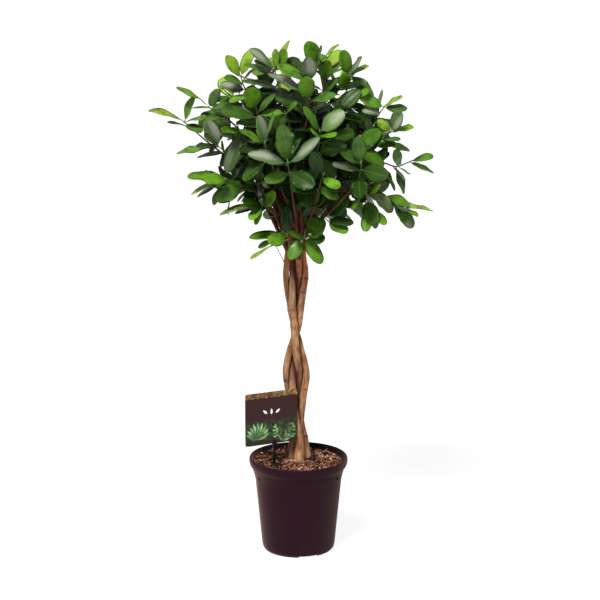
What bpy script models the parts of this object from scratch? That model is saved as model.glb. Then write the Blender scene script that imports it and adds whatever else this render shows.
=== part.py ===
"""An Indian laurel fig grown as a standard, in a pot: four stems braided into one trunk, and a round leafy head.

Metres, +Z up. The front of the plant faces -Y. The origin is the middle of the pot's underside, level with the
surface that the pot stands on.
"""

import itertools
import math
import random
from collections import namedtuple

import bmesh
import bpy
from mathutils import Matrix, Vector, noise
from mathutils.bvhtree import BVHTree

UP = Vector((0, 0, 1))
GAP = 0.0003  # between pieces that stand in or rest on each other
WELD = 1e-6

# The pot: (radius, height) down its outside, then in under its foot.
POT_SIDES = 32
POT_WALL = 0.0018
POT_LIP = [(0.0822, 0.1660), (0.0845, 0.1655), (0.0857, 0.1620), (0.0855, 0.1565), (0.0838, 0.1515)]
POT_FLARE = [(0.0806, 0.1465), (0.0775, 0.1370), (0.0752, 0.1270)]
POT_SIDE = [(0.0742, 0.1180), (0.0640, 0.0120), (0.0627, 0.0045), (0.0596, 0.0)]
POT_LIP_INSET = 0.0012
POT_FLOOR = 0.0050
FOOT_INNER_R = 0.0545
FOOT_RECESS = 0.0028
FOOT_DRAFT = 0.0015
BOSS_R = 0.0140  # the flat boss in the middle of the underside
DRAIN_COUNT, DRAIN_R, DRAIN_RING_R = 3, 0.0050, 0.0400
DRAIN_SEGMENTS = 8
NOTCH_WIDTH, NOTCH_HEIGHT, NOTCH_TURN = 0.0340, 0.0025, -73  # the last in degrees from +X to the first notch

# The potting mix.
SOIL_EDGE_Z = 0.1545
SOIL_MOUND = 0.0050
SOIL_RINGS = [0.91, 0.73, 0.54, 0.35, 0.16]  # shares of the mix's radius at its top
SOIL_LUMP, SOIL_LUMPS_PER_M = 0.0011, 90
SOIL_FLARE_SHARE = 0.9  # how much of the pot's flare the edge of the mix follows

# The care label on its stake. The stake's foot is in the mix, and the card is turned away from the front.
STAKE_FOOT = Vector((-0.0410, -0.0360, 0.0900))
STAKE_TOP_Z, STAKE_WIDTH, STAKE_THICK = 0.2360, 0.0040, 0.0022
STAKE_POINT = 0.0140
JAW_WIDTH, JAW_TOP_WIDTH, JAW_HEIGHT = 0.0090, 0.0045, 0.0050
WEB_WIDTH, WEB_DEPTH = 0.0080, 0.0045
CARD_WIDTH, CARD_HEIGHT, CARD_THICK = 0.0980, 0.0930, 0.0010
CARD_BOTTOM_Z = 0.2005
CARD_TURN = math.radians(25)
CARD_SHIFT = -0.0060  # from the stake to the card's middle, along the card
CARD_CORNER, CARD_CORNER_POINTS = 0.0030, 3

# The four braided stems. Each row is (height, sideways, in depth) for the stem's heart at a turn of the braid.
STEM_COURSES = {
    "stem_1": [  # left at the top, right in the middle, the left foot below
        (0.085, -0.024, 0.014), (0.158, -0.010, 0.008), (0.190, -0.007, 0.006), (0.225, 0.002, 0.005),
        (0.265, 0.007, -0.004), (0.293, 0.0108, -0.0035), (0.318, 0.0130, -0.0015), (0.335, 0.0105, 0.001),
        (0.356, 0.0048, 0.0035), (0.390, -0.0055, 0.0105), (0.435, -0.0135, 0.006), (0.460, -0.018, 0.005),
        (0.483, -0.0209, 0.0025), (0.498, -0.0209, 0.000), (0.513, -0.0196, 0.000), (0.545, -0.0165, 0.004),
        (0.585, -0.014, 0.006),
    ],
    "stem_2": [  # at the back at the top, in front at the waist, the right foot below
        (0.085, 0.030, 0.006), (0.158, 0.014, 0.007), (0.190, 0.0085, 0.013), (0.225, 0.003, 0.018),
        (0.265, 0.0018, 0.009), (0.293, 0.0012, 0.003), (0.318, 0.0017, -0.0015), (0.335, -0.0010, -0.005),
        (0.356, -0.0039, -0.0095), (0.390, -0.0064, -0.013), (0.435, -0.0096, -0.0065), (0.460, -0.0104, -0.004),
        (0.483, -0.0101, 0.001), (0.498, -0.0101, 0.0035), (0.513, -0.0089, 0.008), (0.545, -0.007, 0.013),
        (0.585, -0.005, 0.015),
    ],
    "stem_3": [  # in front at the top, left in the middle, the front foot below
        (0.085, 0.002, -0.020), (0.158, 0.002, -0.006), (0.190, 0.001, -0.007), (0.225, -0.003, -0.008),
        (0.265, -0.0095, -0.007), (0.293, -0.0099, -0.0025), (0.318, -0.0099, 0.0015), (0.335, -0.0104, 0.006),
        (0.356, -0.0085, 0.013), (0.390, -0.006, 0.0225), (0.435, -0.001, 0.0125), (0.460, -0.0003, 0.007),
        (0.483, 0.0007, 0.002), (0.498, 0.0007, -0.0005), (0.513, 0.0008, -0.0035), (0.545, 0.000, -0.006),
        (0.585, -0.001, -0.007),
    ],
    "stem_4": [  # right at the top, left in the middle, the back foot below
        (0.085, 0.004, 0.036), (0.158, 0.002, 0.021), (0.190, -0.004, 0.018), (0.225, -0.010, 0.011),
        (0.265, -0.014, 0.006), (0.293, -0.0178, 0.006), (0.318, -0.0208, 0.001), (0.335, -0.0198, -0.001),
        (0.356, -0.0143, -0.001), (0.390, -0.003, -0.001), (0.435, 0.0043, -0.001), (0.460, 0.0075, -0.001),
        (0.483, 0.0115, -0.0005), (0.498, 0.0112, 0.002), (0.513, 0.009, 0.005), (0.545, 0.0065, 0.008),
        (0.585, 0.006, 0.008),
    ],
}
STEM_RADII = [
    (0.085, 0.0096), (0.158, 0.0088), (0.190, 0.0073), (0.225, 0.0061), (0.265, 0.0059), (0.293, 0.0056),
    (0.318, 0.0054), (0.335, 0.0054), (0.356, 0.0056), (0.390, 0.0058), (0.435, 0.0056), (0.460, 0.0053),
    (0.483, 0.0051), (0.505, 0.0050), (0.545, 0.0045), (0.585, 0.0034),
]
STEM_SECTIONS = 27
STEM_GAP = 0.0003
STEM_PRESSES = 120  # rounds of pressing the stems apart
STEM_REACH = 3  # sections up and down in which two stems can meet
STEM_QUARTERS = {"stem_1": 180, "stem_2": 90, "stem_3": -90, "stem_4": 0}  # side of the head that each feeds

# The head. Twig tips lie on a dome round HEAD_MIDDLE, and the leaves reach past them.
SEED = 11
HEAD_MIDDLE = Vector((0.004, 0.004, 0.702))
HEAD_REACH = Vector((0.140, 0.150, 0.145))
HEAD_JITTER, TURN_JITTER = 0.06, 0.12
SPRAY_COUNT = 18
FACING, INNER_REACH = -0.50, 0.62  # sprays that face the front this much stay inside, behind the seen shoots
LOWEST_POLAR = math.radians(117)
TRUNK_TOP = Vector((-0.003, 0.006, 0.545))
FIRST_FORK_Z, LAST_FORK_Z, FORK_JITTER = 0.515, 0.578, 0.15
TIP_LIFT, TIP_DROOP = 0.50, 0.45  # how far twig tips bend up at the top of the dome, and down at its rim
FORK_RISE, FORK_LEAN, TIP_HANDLE = 0.34, 0.16, 0.36  # a branch's bends, as shares of its reach
WOOD_RADII, WOOD_POINTS = (0.0026, 0.0016), 5
TWIG_RADII, TWIG_POINTS = (0.0016, 0.0009), 4
TWIG_LENGTH, TWIG_SHARE = 0.068, 0.6
BUD_LENGTH, BUD_RADIUS = 0.009, 0.0003
LINE_POINTS = 24
LIMB_TRIES, LIMB_ROOM = 40, 0.0006  # how often a branch is moved to keep this clear of the others

# Shoots whose leaves the photograph shows singly, nearest first, read off it by eye and rounded to the millimetre.
# Each is the line of its twig, the depth of the twig's tip, and its leaves: where the root is, where the tip is,
# the width that is seen, and the kind. Places are (sideways, up) where the line of sight from EYE meets the plane
# y = 0. Kinds: T plain, D dark, G bright, P with a pale sheen, Y young, O olive, U with its back to the front.
EYE = Vector((0.0027, -3.6, 1.31))
TWIG_SLOPE = 0.75  # depth of a seen twig's foot, as a share of its tip's
SEEN_WIDTH_SHARE = 0.56
SEEN_SHORTEST, YOUNG_SHORTEST, LENGTH_ROOM = 0.045, 0.028, 1.03
SEEN_TRIES, DEPTH_STEP, ROLL_STEP = 26, 0.005, 0.025
SEEN_SHOOTS = [
    ([(-11, 634), (-14, 658), (-18, 684)], -152, [
        (-21, 689, -29, 748, 33, "T"), (-12, 682, 36, 726, 22, "P"), (-16, 668, 26, 642, 34, "D"),
        (-19, 682, -85, 697, 22, "P"), (-19, 680, -58, 689, 14, "G"), (-19, 666, -57, 653, 24, "T"),
        (-12, 687, 3, 728, 15, "D")]),
    ([(26, 692), (35, 713), (36, 736)], -140, [
        (38, 738, 78, 770, 29, "P"), (33, 740, 8, 779, 15, "T"), (40, 730, 63, 730, 9, "G"),
        (36, 718, 82, 711, 17, "D"), (35, 730, 21, 740, 9, "G")]),
    ([(91, 641), (104, 661), (106, 682)], -128, [
        (104, 684, 97, 728, 27, "T"), (113, 670, 57, 682, 14, "P"), (113, 672, 151, 660, 33, "D"),
        (104, 687, 70, 706, 19, "D"), (91, 663, 106, 623, 33, "D")]),
    ([(30, 620), (35, 644), (42, 663)], -132, [
        (38, 661, 70, 641, 19, "G"), (47, 666, 21, 702, 27, "D"), (47, 642, 65, 620, 21, "T"),
        (23, 641, -9, 637, 17, "D")]),
    ([(-40, 668), (-50, 694), (-56, 716)], -128, [
        (-56, 714, -68, 764, 24, "P"), (-56, 718, -41, 762, 15, "G"), (-61, 713, -100, 740, 12, "G"),
        (-60, 711, -100, 704, 14, "D"), (-51, 692, -94, 654, 19, "D")]),
    ([(-58, 723), (-66, 747), (-71, 777)], -120, [
        (-70, 752, -110, 774, 22, "P"), (-71, 779, -84, 811, 31, "G"), (-71, 767, -39, 799, 12, "T"),
        (-70, 743, -105, 752, 10, "G"), (-75, 758, -130, 774, 19, "T")]),
    ([(13, 753), (19, 786), (19, 821)], -100, [
        (18, 824, 14, 863, 31, "P"), (24, 792, 9, 829, 29, "G"), (21, 789, 63, 799, 15, "T"),
        (16, 786, -39, 794, 14, "D"), (8, 799, -51, 833, 15, "P"), (4, 823, -36, 848, 17, "G"),
        (18, 784, 6, 811, 9, "P")]),
    ([(-21, 784), (-34, 814), (-39, 841)], -70, [
        (-41, 838, -19, 873, 17, "G"), (-36, 843, 3, 858, 21, "D"), (-42, 851, -14, 891, 10, "Y"),
        (-42, 841, -82, 876, 15, "P"), (-41, 833, -89, 848, 10, "T"), (-41, 838, -74, 856, 9, "T"),
        (-41, 844, -36, 876, 14, "Y"), (-34, 811, -93, 821, 12, "T"), (-29, 801, -68, 804, 14, "D")]),
    ([(-78, 791), (-91, 812), (-96, 829)], -55, [
        (-98, 829, -122, 864, 19, "Y"), (-96, 831, -76, 876, 22, "Y"), (-93, 818, -123, 826, 14, "T"),
        (-88, 806, -131, 816, 19, "P"), (-86, 799, -110, 786, 14, "G"), (-98, 821, -66, 848, 3, "G")]),
    ([(43, 804), (38, 828), (33, 849)], -30, [
        (29, 848, 13, 888, 27, "G"), (36, 824, 53, 856, 24, "G"), (33, 851, 39, 874, 10, "P"),
        (36, 861, 68, 883, 3, "Y"), (33, 802, 66, 824, 14, "T"), (40, 828, 75, 843, 5, "G")]),
    ([(75, 777), (80, 804), (85, 833)], -20, [
        (85, 836, 71, 873, 22, "G"), (81, 806, 73, 834, 24, "G"), (90, 836, 125, 792, 22, "U"),
        (86, 841, 106, 861, 10, "P"), (83, 831, 118, 848, 7, "Y"), (81, 807, 103, 823, 7, "U"),
        (78, 796, 117, 802, 9, "G"), (76, 792, 107, 796, 10, "T"), (53, 856, 71, 869, 5, "G")]),
    ([(119, 740), (132, 762), (144, 779)], -45, [
        (144, 779, 103, 792, 19, "G"), (144, 779, 182, 774, 15, "T"), (147, 786, 175, 796, 7, "Y"),
        (130, 760, 85, 784, 17, "D"), (144, 764, 110, 769, 14, "P"), (120, 747, 77, 767, 15, "T")]),
    ([(117, 702), (137, 719), (156, 738)], -62, [
        (157, 740, 174, 770, 22, "P"), (156, 738, 132, 755, 17, "Y"), (156, 733, 194, 743, 9, "G"),
        (144, 725, 168, 721, 10, "T"), (134, 709, 164, 713, 15, "G"), (122, 723, 154, 745, 12, "P"),
        (117, 723, 109, 765, 15, "T"), (139, 713, 188, 704, 9, "G"), (119, 704, 144, 730, 17, "T")]),
    ([(114, 680), (141, 685), (167, 677), (190, 687)], -30, [
        (177, 677, 160, 704, 19, "G"), (190, 689, 227, 692, 12, "G"), (188, 684, 229, 666, 10, "G"),
        (155, 673, 179, 654, 5, "G"), (160, 668, 179, 630, 12, "U"), (123, 689, 154, 699, 15, "G"),
        (170, 675, 185, 665, 3, "G")]),
    ([(91, 644), (118, 634), (145, 627), (167, 608)], -60, [
        (164, 603, 195, 572, 21, "P"), (145, 630, 189, 610, 17, "T"), (123, 630, 161, 601, 19, "U"),
        (157, 615, 178, 580, 12, "G"), (176, 615, 203, 591, 5, "G"), (174, 623, 230, 601, 3, "Y"),
        (121, 637, 138, 642, 14, "G"), (160, 618, 179, 601, 10, "D")]),
    ([(67, 637), (91, 632), (111, 623), (121, 603)], -85, [
        (120, 622, 132, 580, 31, "T"), (111, 599, 115, 565, 21, "G"), (132, 603, 149, 577, 17, "G"),
        (103, 627, 96, 605, 10, "G"), (87, 623, 50, 596, 29, "D"), (122, 591, 134, 572, 15, "D")]),
    ([(23, 620), (35, 601), (50, 584)], -90, [
        (49, 582, 83, 563, 21, "G"), (54, 589, 93, 579, 15, "D"), (33, 606, 60, 625, 14, "D"),
        (26, 610, 8, 592, 21, "D")]),
    ([(3, 518), (6, 537), (10, 556)], -52, [
        (13, 556, 39, 509, 24, "G"), (10, 558, -16, 518, 24, "G"), (8, 559, 47, 582, 31, "T"),
        (16, 556, 45, 551, 22, "D"), (6, 558, -14, 561, 14, "T")]),
    ([(-9, 523), (-13, 540), (-19, 558)], -50, [
        (-19, 558, -52, 546, 26, "G"), (-31, 563, -84, 554, 17, "G"), (-21, 558, -23, 610, 22, "D"),
        (-47, 554, -69, 537, 7, "Y"), (-47, 542, -83, 518, 5, "Y")]),
    ([(-24, 592), (-43, 599), (-60, 611)], -60, [
        (-60, 610, -38, 632, 22, "G"), (-62, 627, -94, 615, 22, "D"), (-69, 611, -81, 585, 15, "G"),
        (-62, 608, -72, 577, 10, "G"), (-77, 617, -133, 594, 7, "Y"), (-75, 610, -108, 598, 3, "D")]),
    ([(-68, 644), (-95, 642), (-121, 656)], -70, [
        (-121, 660, -160, 654, 21, "G"), (-99, 630, -140, 620, 29, "T"), (-139, 663, -188, 660, 15, "G"),
        (-82, 642, -129, 648, 21, "T"), (-129, 651, -145, 641, 9, "G"), (-155, 644, -182, 630, 5, "Y"),
        (-145, 641, -170, 629, 3, "D")]),
    ([(-89, 675), (-112, 696), (-134, 711)], -60, [
        (-130, 718, -155, 758, 29, "P"), (-132, 725, -157, 731, 10, "Y"), (-139, 709, -206, 699, 10, "G"),
        (-139, 709, -171, 711, 10, "D"), (-122, 704, -171, 692, 9, "G"), (-112, 726, -130, 711, 12, "G"),
        (-134, 713, -156, 725, 10, "D")]),
    ([(-136, 706), (-161, 726), (-182, 745), (-194, 755)], -35, [
        (-197, 755, -252, 772, 10, "Y"), (-187, 758, -173, 796, 12, "G"), (-184, 757, -164, 735, 17, "T"),
        (-182, 745, -221, 753, 3, "Y"), (-187, 760, -155, 760, 5, "G")]),
    ([(-102, 743), (-125, 764), (-147, 775), (-163, 791)], -50, [
        (-165, 792, -205, 811, 10, "G"), (-118, 767, -164, 767, 15, "T"), (-150, 774, -180, 777, 5, "Y")]),
    ([(-88, 770), (-110, 794), (-128, 811)], -70, [
        (-130, 812, -150, 782, 19, "U"), (-115, 792, -143, 789, 9, "T"), (-93, 779, -123, 779, 15, "D")]),
    ([(-78, 702), (-87, 723), (-97, 738)], -105, [
        (-98, 735, -121, 666, 26, "O"), (-90, 750, -129, 738, 12, "G"), (-81, 733, -115, 743, 12, "T")]),
    ([(-11, 723), (-14, 747), (-21, 767)], -135, [
        (-22, 767, -63, 767, 14, "G"), (-19, 770, -4, 782, 9, "G"), (-11, 777, -28, 747, 14, "D"),
        (-12, 743, 8, 740, 7, "D")]),
]

# Leaves.
GOLDEN_ANGLE = math.radians(137.5)
LEAVES_PER_SPRAY = 10
LEAF_LENGTH = 0.057  # with its stalk
LEAF_WIDTH_SHARE = 0.53
LEAF_THICK = 0.0012  # at the midrib
LEAF_ARCH = (0.25, 0.75)  # radians that a leaf bends down from its root to its tip
SEEN_ARCH = (0.20, 0.50)
LEAF_SAG = (-0.22, 0.10)  # how far a leaf's stalk bends down or up
YOUNG_SHARE, GROWN_SHARE, OLD_TAPER = 0.66, 0.36, (0.18, 0.90)  # leaf length, a sine over the leaf's age
LENGTH_SPREAD, WIDTH_SPREAD = (0.92, 1.06), (0.92, 1.10)
TIP_LEAN, FOOT_LEAN, LEAN_JITTER = 32, 70, 5  # degrees off the twig, at its tip and at its foot
LEAF_SKY, LEAF_OUTWARD = 0.55, 0.35  # how far leaves face the sky, and away from the head's middle
BARE_SHARE, CROWDING = 0.12, 1.25  # bare part of the twig's foot, and how far the leaves crowd to its tip
LEAF_TRIES, TRY_SHRINK = 14, 0.02
BLADE_STATIONS = [(0.23, 0.40), (0.64, 1.0)]  # (share of the length, share of the width)
TIP_SHARE = 0.36
CLEARANCE = 0.0012  # round a leaf, where it might meet another

NOTHING = ([Vector((0, 0, -9)), Vector((1, 0, -9)), Vector((0, 1, -9))], [(0, 1, 2)])  # out of all reach

Target = namedtuple("Target", "stem end way twig rows")  # where a branch is to end, and which way
Spray = namedtuple("Spray", "name stem wood twig rows leaves")  # rows: seen leaves, or how many it is to have
Leaf = namedtuple("Leaf", "root side along up length width arch")


def ramp(ends, count):
    return [ends[0] + (ends[1] - ends[0]) * k / (count - 1) for k in range(count)]


def between(rows, height):
    """Reads a table of (height, value, ...) rows at a height, smoothly."""
    rows = [rows[0]] + list(rows) + [rows[-1]]
    last = len(rows) - 3
    k = next((i for i in range(1, last) if height < rows[i + 1][0]), last)
    before, low, high, after = rows[k - 1], rows[k], rows[k + 1], rows[k + 2]
    span = high[0] - low[0]
    t = min(1.0, max(0.0, (height - low[0]) / span))
    values = []
    for a, b, c, d in zip(before[1:], low[1:], high[1:], after[1:]):
        slope_low = (c - a) * span / max(high[0] - before[0], 1e-9)
        slope_high = (d - b) * span / max(after[0] - low[0], 1e-9)
        values.append(
            (2 * t**3 - 3 * t**2 + 1) * b + (t**3 - 2 * t**2 + t) * slope_low
            + (3 * t**2 - 2 * t**3) * c + (t**3 - t**2) * slope_high
        )
    return values


def braid():
    """The stems' heart lines, pressed apart until none is in another: {stem: [(point, radius)]}."""
    heights = ramp((STEM_RADII[0][0], STEM_RADII[-1][0]), STEM_SECTIONS)
    radii = [between(STEM_RADII, z)[0] for z in heights]
    hearts = {name: [Vector((*between(rows, z), z)) for z in heights] for name, rows in STEM_COURSES.items()}
    for _ in range(STEM_PRESSES):
        for first, second in itertools.combinations(hearts.values(), 2):
            press_apart(first, second, radii)
    return {name: list(zip(points, radii)) for name, points in hearts.items()}


def press_apart(first, second, radii):
    """Moves two heart lines apart sideways wherever their stems would be in each other."""
    for i in range(len(first) - 1):
        for j in range(max(0, i - STEM_REACH), min(len(second) - 1, i + STEM_REACH + 1)):
            a, b = first[i:i + 2], second[j:j + 2]
            s, t = nearest_shares(*a, *b)
            apart = a[0].lerp(a[1], s) - b[0].lerp(b[1], t)
            short = radii[i] + radii[j] + STEM_GAP - apart.length
            if short <= 0:
                continue
            push = Vector((apart.x, apart.y, 0)).normalized() * (short / 2)
            a[0] += push * (1 - s)
            a[1] += push * s
            b[0] -= push * (1 - t)
            b[1] -= push * t


def nearest_shares(p1, q1, p2, q2):
    """How far along two line segments their nearest points lie, as shares of their lengths."""
    along1, along2, apart = q1 - p1, q2 - p2, p1 - p2
    a, b, c = along1.dot(along1), along1.dot(along2), along1.dot(apart)
    e, f = along2.dot(along2), along2.dot(apart)
    level = a * e - b * b
    s = min(1.0, max(0.0, (b * f - c * e) / level)) if level > 1e-18 else 0.5
    t = min(1.0, max(0.0, (b * s + f) / e))
    return min(1.0, max(0.0, (b * t - c) / a)), t


def bezier(p0, p1, p2, p3, count):
    """Points evenly spread in parameter along a cubic curve."""
    points = []
    for t in ramp((0, 1), count):
        s = 1 - t
        points.append(p0 * s**3 + p1 * (3 * s * s * t) + p2 * (3 * s * t * t) + p3 * t**3)
    return points


def point_along(points, distance):
    """(point, direction) at this distance along a line of points."""
    for a, b in zip(points, points[1:]):
        step = (b - a).length
        if distance <= step:
            return a + (b - a) * (distance / step), (b - a).normalized()
        distance -= step
    return points[-1].copy(), (points[-1] - points[-2]).normalized()


def length_of(points):
    return sum((b - a).length for a, b in zip(points, points[1:]))


def resampled(points, start, end, count):
    """Points at equal steps along a line of points, between two distances."""
    return [point_along(points, distance)[0] for distance in ramp((start, end), count)]


def nearest_stem(azimuth):
    """Each stem feeds the quarter of the head on its own side."""
    def apart(stem):
        return abs((math.degrees(azimuth) - STEM_QUARTERS[stem] + 180) % 360 - 180)
    return min(STEM_QUARTERS, key=apart)


def sighted(sideways, up, depth):
    """The point at a depth on the line of sight through a place on the plane y = 0, given in millimetres."""
    place = Vector((sideways / 1000, 0, up / 1000))
    return EYE + (place - EYE) * ((depth - EYE.y) / -EYE.y)


def fork_height(tip, jitter):
    """The stems' first forks feed the lowest twigs, and the last the top of the head."""
    share = min(1.0, UP.angle(tip - HEAD_MIDDLE) / LOWEST_POLAR)
    return LAST_FORK_Z + (FIRST_FORK_Z - LAST_FORK_Z) * ((1 - FORK_JITTER) * share + FORK_JITTER * jitter)


def seen_targets():
    """The shoots that the photograph shows. Twigs are given, and a branch ends where its twig begins."""
    targets = []
    for line, depth, rows in SEEN_SHOOTS:
        depths = [depth / 1000 * share for share in ramp((TWIG_SLOPE, 1), len(line))]
        points = [sighted(x, z, y) for (x, z), y in zip(line, depths)]
        twig = resampled(points, 0, length_of(points), TWIG_POINTS)
        stem = nearest_stem(math.atan2(twig[-1].y - TRUNK_TOP.y, twig[-1].x - TRUNK_TOP.x))
        targets.append(Target(stem, twig[0], (twig[1] - twig[0]).normalized(), twig, rows))
    return targets


def head_targets(rng):
    """The other sprays, even over the dome. A branch ends at its twig's tip. Those in front stay inside."""
    targets = []
    lowest_cos = math.cos(LOWEST_POLAR)
    for k in range(SPRAY_COUNT):
        polar = math.acos(1 - (1 - lowest_cos) * (k + 0.6) / SPRAY_COUNT)
        azimuth = k * GOLDEN_ANGLE + rng.uniform(-TURN_JITTER, TURN_JITTER)
        level = math.sin(polar)
        out = Vector((level * math.cos(azimuth), level * math.sin(azimuth), math.cos(polar)))
        reach = 1 + rng.uniform(-HEAD_JITTER, HEAD_JITTER)
        if out.y < FACING:
            reach *= INNER_REACH
        tip = HEAD_MIDDLE + Vector(a * b for a, b in zip(out, HEAD_REACH)) * reach
        points_to = (out + UP * (TIP_LIFT - (TIP_LIFT + TIP_DROOP) * polar / LOWEST_POLAR)).normalized()
        targets.append(Target(nearest_stem(azimuth), tip, points_to, None, LEAVES_PER_SPRAY))
    return targets


def branch_line(heart, end, way, rng, attempt):
    """A smooth line from a stem to a point, which it reaches on this way. Later attempts stray more."""
    spread = attempt / LIMB_TRIES
    fork = fork_height(end, rng.random()) + rng.uniform(-0.03, 0.01) * spread
    root = next(p for p, _ in heart if p.z >= fork)
    reach = (end - root).length
    out = Vector((end.x - TRUNK_TOP.x, end.y - TRUNK_TOP.y, 0)).normalized()
    aside = out.cross(UP) * rng.uniform(-0.5, 0.5)
    rise, lean = FORK_RISE * (1 + rng.uniform(-1, 1) * spread), FORK_LEAN * (1 + rng.uniform(-1, 1) * spread)
    handle = root + UP * (rise * reach) + (out + aside * spread) * (lean * reach)
    return bezier(root, handle, end - way * (TIP_HANDLE * reach), end, LINE_POINTS)


def limb_lines(target, heart, rng, attempt):
    """The points of a branch, and of the twig that goes on from it."""
    line = branch_line(heart, target.end, target.way, rng, attempt)
    wood_length = length_of(line)
    twig = target.twig
    if twig is None:
        total = wood_length
        wood_length -= min(TWIG_LENGTH, TWIG_SHARE * total)
        twig = resampled(line, wood_length, total, TWIG_POINTS)
    wood = resampled(line, 0, wood_length, WOOD_POINTS)
    wood_way = (wood[-1] - wood[-2]).normalized()
    bend = wood_way.angle(twig[1] - twig[0])
    wood[-1] -= wood_way * (GAP + TWIG_RADII[0] * math.sin(bend))
    bud = twig[-1] + (twig[-1] - twig[-2]).normalized() * BUD_LENGTH
    return wood, twig + [bud]


def swollen(points, radii, room):
    return tube_mesh(points, [r + room for r in ramp(radii, len(points))])


def grow_branches(lines, rng):
    """The sprays without their leaves: each has a brown branch from its stem and a green twig at its end.

    Branches of one stem may cross, because they grow into one another, but no others touch. A spray that finds
    no clear way is left out.
    """
    sprays, limbs = [], Obstacles()
    for stem, line in lines.items():
        limbs.add(stem, tube_mesh([p for p, _ in line], [r for _, r in line]), NOTHING)
    for target in seen_targets() + head_targets(rng):
        name = f"spray_{len(sprays) + 1:02d}"
        for attempt in range(LIMB_TRIES):
            wood, twig = limb_lines(target, lines[target.stem], rng, attempt)
            wood_tube, twig_tube = swollen(wood, WOOD_RADII, LIMB_ROOM), swollen(twig, TWIG_RADII, LIMB_ROOM)
            if limbs.clear(target.stem, wood_tube, NOTHING) and limbs.clear(name, twig_tube, twig_tube):
                limbs.add(target.stem, wood_tube, NOTHING)
                limbs.add(name, twig_tube, twig_tube)
                sprays.append(Spray(name, target.stem, wood, twig, target.rows, []))
                break
    return sprays


def blade_point(leaf, along, across, lift):
    """A point of a leaf: along is a share of its length, across and lift are metres from its midrib."""
    bend = leaf.arch * along
    ahead = leaf.length * math.sin(bend) / leaf.arch
    drop = leaf.length * (1 - math.cos(bend)) / leaf.arch
    return leaf.root + leaf.along * ahead + leaf.side * across + leaf.up * (lift - drop)


def blade_mesh(leaf, stalk=True, widen=0.0, thick=LEAF_THICK):
    """(points, triangles) of a leaf: its sections are flat on top and run to thin edges from a keel below.

    Its root and its blunt tip are edges. Without its stalk it begins, open, at its first station.
    """
    points, faces = [], []
    above, below = thick / 3, -thick * 2 / 3
    for along, share in BLADE_STATIONS:
        half = leaf.width / 2 * share + widen
        points += [blade_point(leaf, along, -half, above), blade_point(leaf, along, half, above)]
        points.append(blade_point(leaf, along, 0, below))
    for low in range(0, len(points) - 3, 3):
        faces += [(low, low + 1, low + 4), (low, low + 4, low + 3)]
        for edge, keel in ((low, low + 2), (low + 2, low + 1)):
            faces += [(keel, edge, edge + 3), (keel, edge + 3, keel + 3)]
    last, left, right = len(points) - 3, len(points), len(points) + 1
    half = leaf.width / 2 * TIP_SHARE + widen
    points += [blade_point(leaf, 1, -half, 0), blade_point(leaf, 1, half, 0)]
    faces += [(last, last + 1, right), (last, right, left), (last + 2, last, left)]
    faces += [(last + 1, last + 2, right), (last + 2, left, right)]
    if stalk:
        top, bottom = len(points), len(points) + 1
        points += [leaf.root + leaf.up * above, leaf.root + leaf.up * below]
        faces += [(top, 1, 0), (top, 0, bottom), (top, bottom, 1), (bottom, 0, 2), (bottom, 2, 1)]
    return points, faces


def tube_mesh(points, radii, sides=6):
    """(points, triangles) of a plain open tube, for telling what a leaf would touch."""
    rings, faces = [], []
    for k, (point, radius) in enumerate(zip(points, radii)):
        ahead = points[min(k + 1, len(points) - 1)] - points[max(k - 1, 0)]
        side = ahead.orthogonal().normalized()
        other = ahead.normalized().cross(side)
        for n in range(sides):
            turn = 2 * math.pi * n / sides
            rings.append(point + (side * math.cos(turn) + other * math.sin(turn)) * radius)
    for low in range(0, len(rings) - sides, sides):
        for n in range(sides):
            a, b = low + n, low + (n + 1) % sides
            faces += [(a, b, b + sides), (a, b + sides, a + sides)]
    return rings, faces


class Obstacles:
    """What is already in the head, each with a tree of its faces, so that a new leaf keeps clear of it."""

    def __init__(self):
        self.things = []

    def add(self, owner, whole, blade):
        middle, size = self.ball(whole[0])
        self.things.append((owner, middle, size, BVHTree.FromPolygons(*whole), BVHTree.FromPolygons(*blade)))

    def clear(self, owner, whole, blade):
        """Whether a leaf meets nothing. On its own twig only the blades count, as the stalks start there."""
        middle, size = self.ball(whole[0])
        whole_tree, blade_tree = BVHTree.FromPolygons(*whole), BVHTree.FromPolygons(*blade)
        for other, centre, reach, other_whole, other_blade in self.things:
            if (centre - middle).length > reach + size:
                continue
            pair = (blade_tree, other_blade) if other == owner else (whole_tree, other_whole)
            if pair[0].overlap(pair[1]):
                return False
        return True

    @staticmethod
    def ball(points):
        middle = sum(points, Vector()) / len(points)
        return middle, max((p - middle).length for p in points)


def leaf_at(spray, share, turn, lean, length, rng):
    """A leaf on a twig: share is how far up the twig, turn its way round it and lean its angle off it."""
    root, ahead = point_along(spray.twig[:-1], share * length_of(spray.twig[:-1]))
    side = ahead.cross(UP).normalized()
    out = side * math.cos(turn) + side.cross(ahead) * math.sin(turn)
    arch = rng.uniform(*LEAF_ARCH)
    along = (ahead * math.cos(lean) + out * math.sin(lean) + UP * rng.uniform(*LEAF_SAG)).normalized()
    outward = (root - HEAD_MIDDLE).normalized()
    up = ahead * math.sin(lean) - out * math.cos(lean) + UP * LEAF_SKY + outward * LEAF_OUTWARD
    up = (up - along * up.dot(along)).normalized()
    width = length * LEAF_WIDTH_SHARE * rng.uniform(*WIDTH_SPREAD)
    return Leaf(root, along.cross(up), along, up, length, width, arch)


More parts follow.
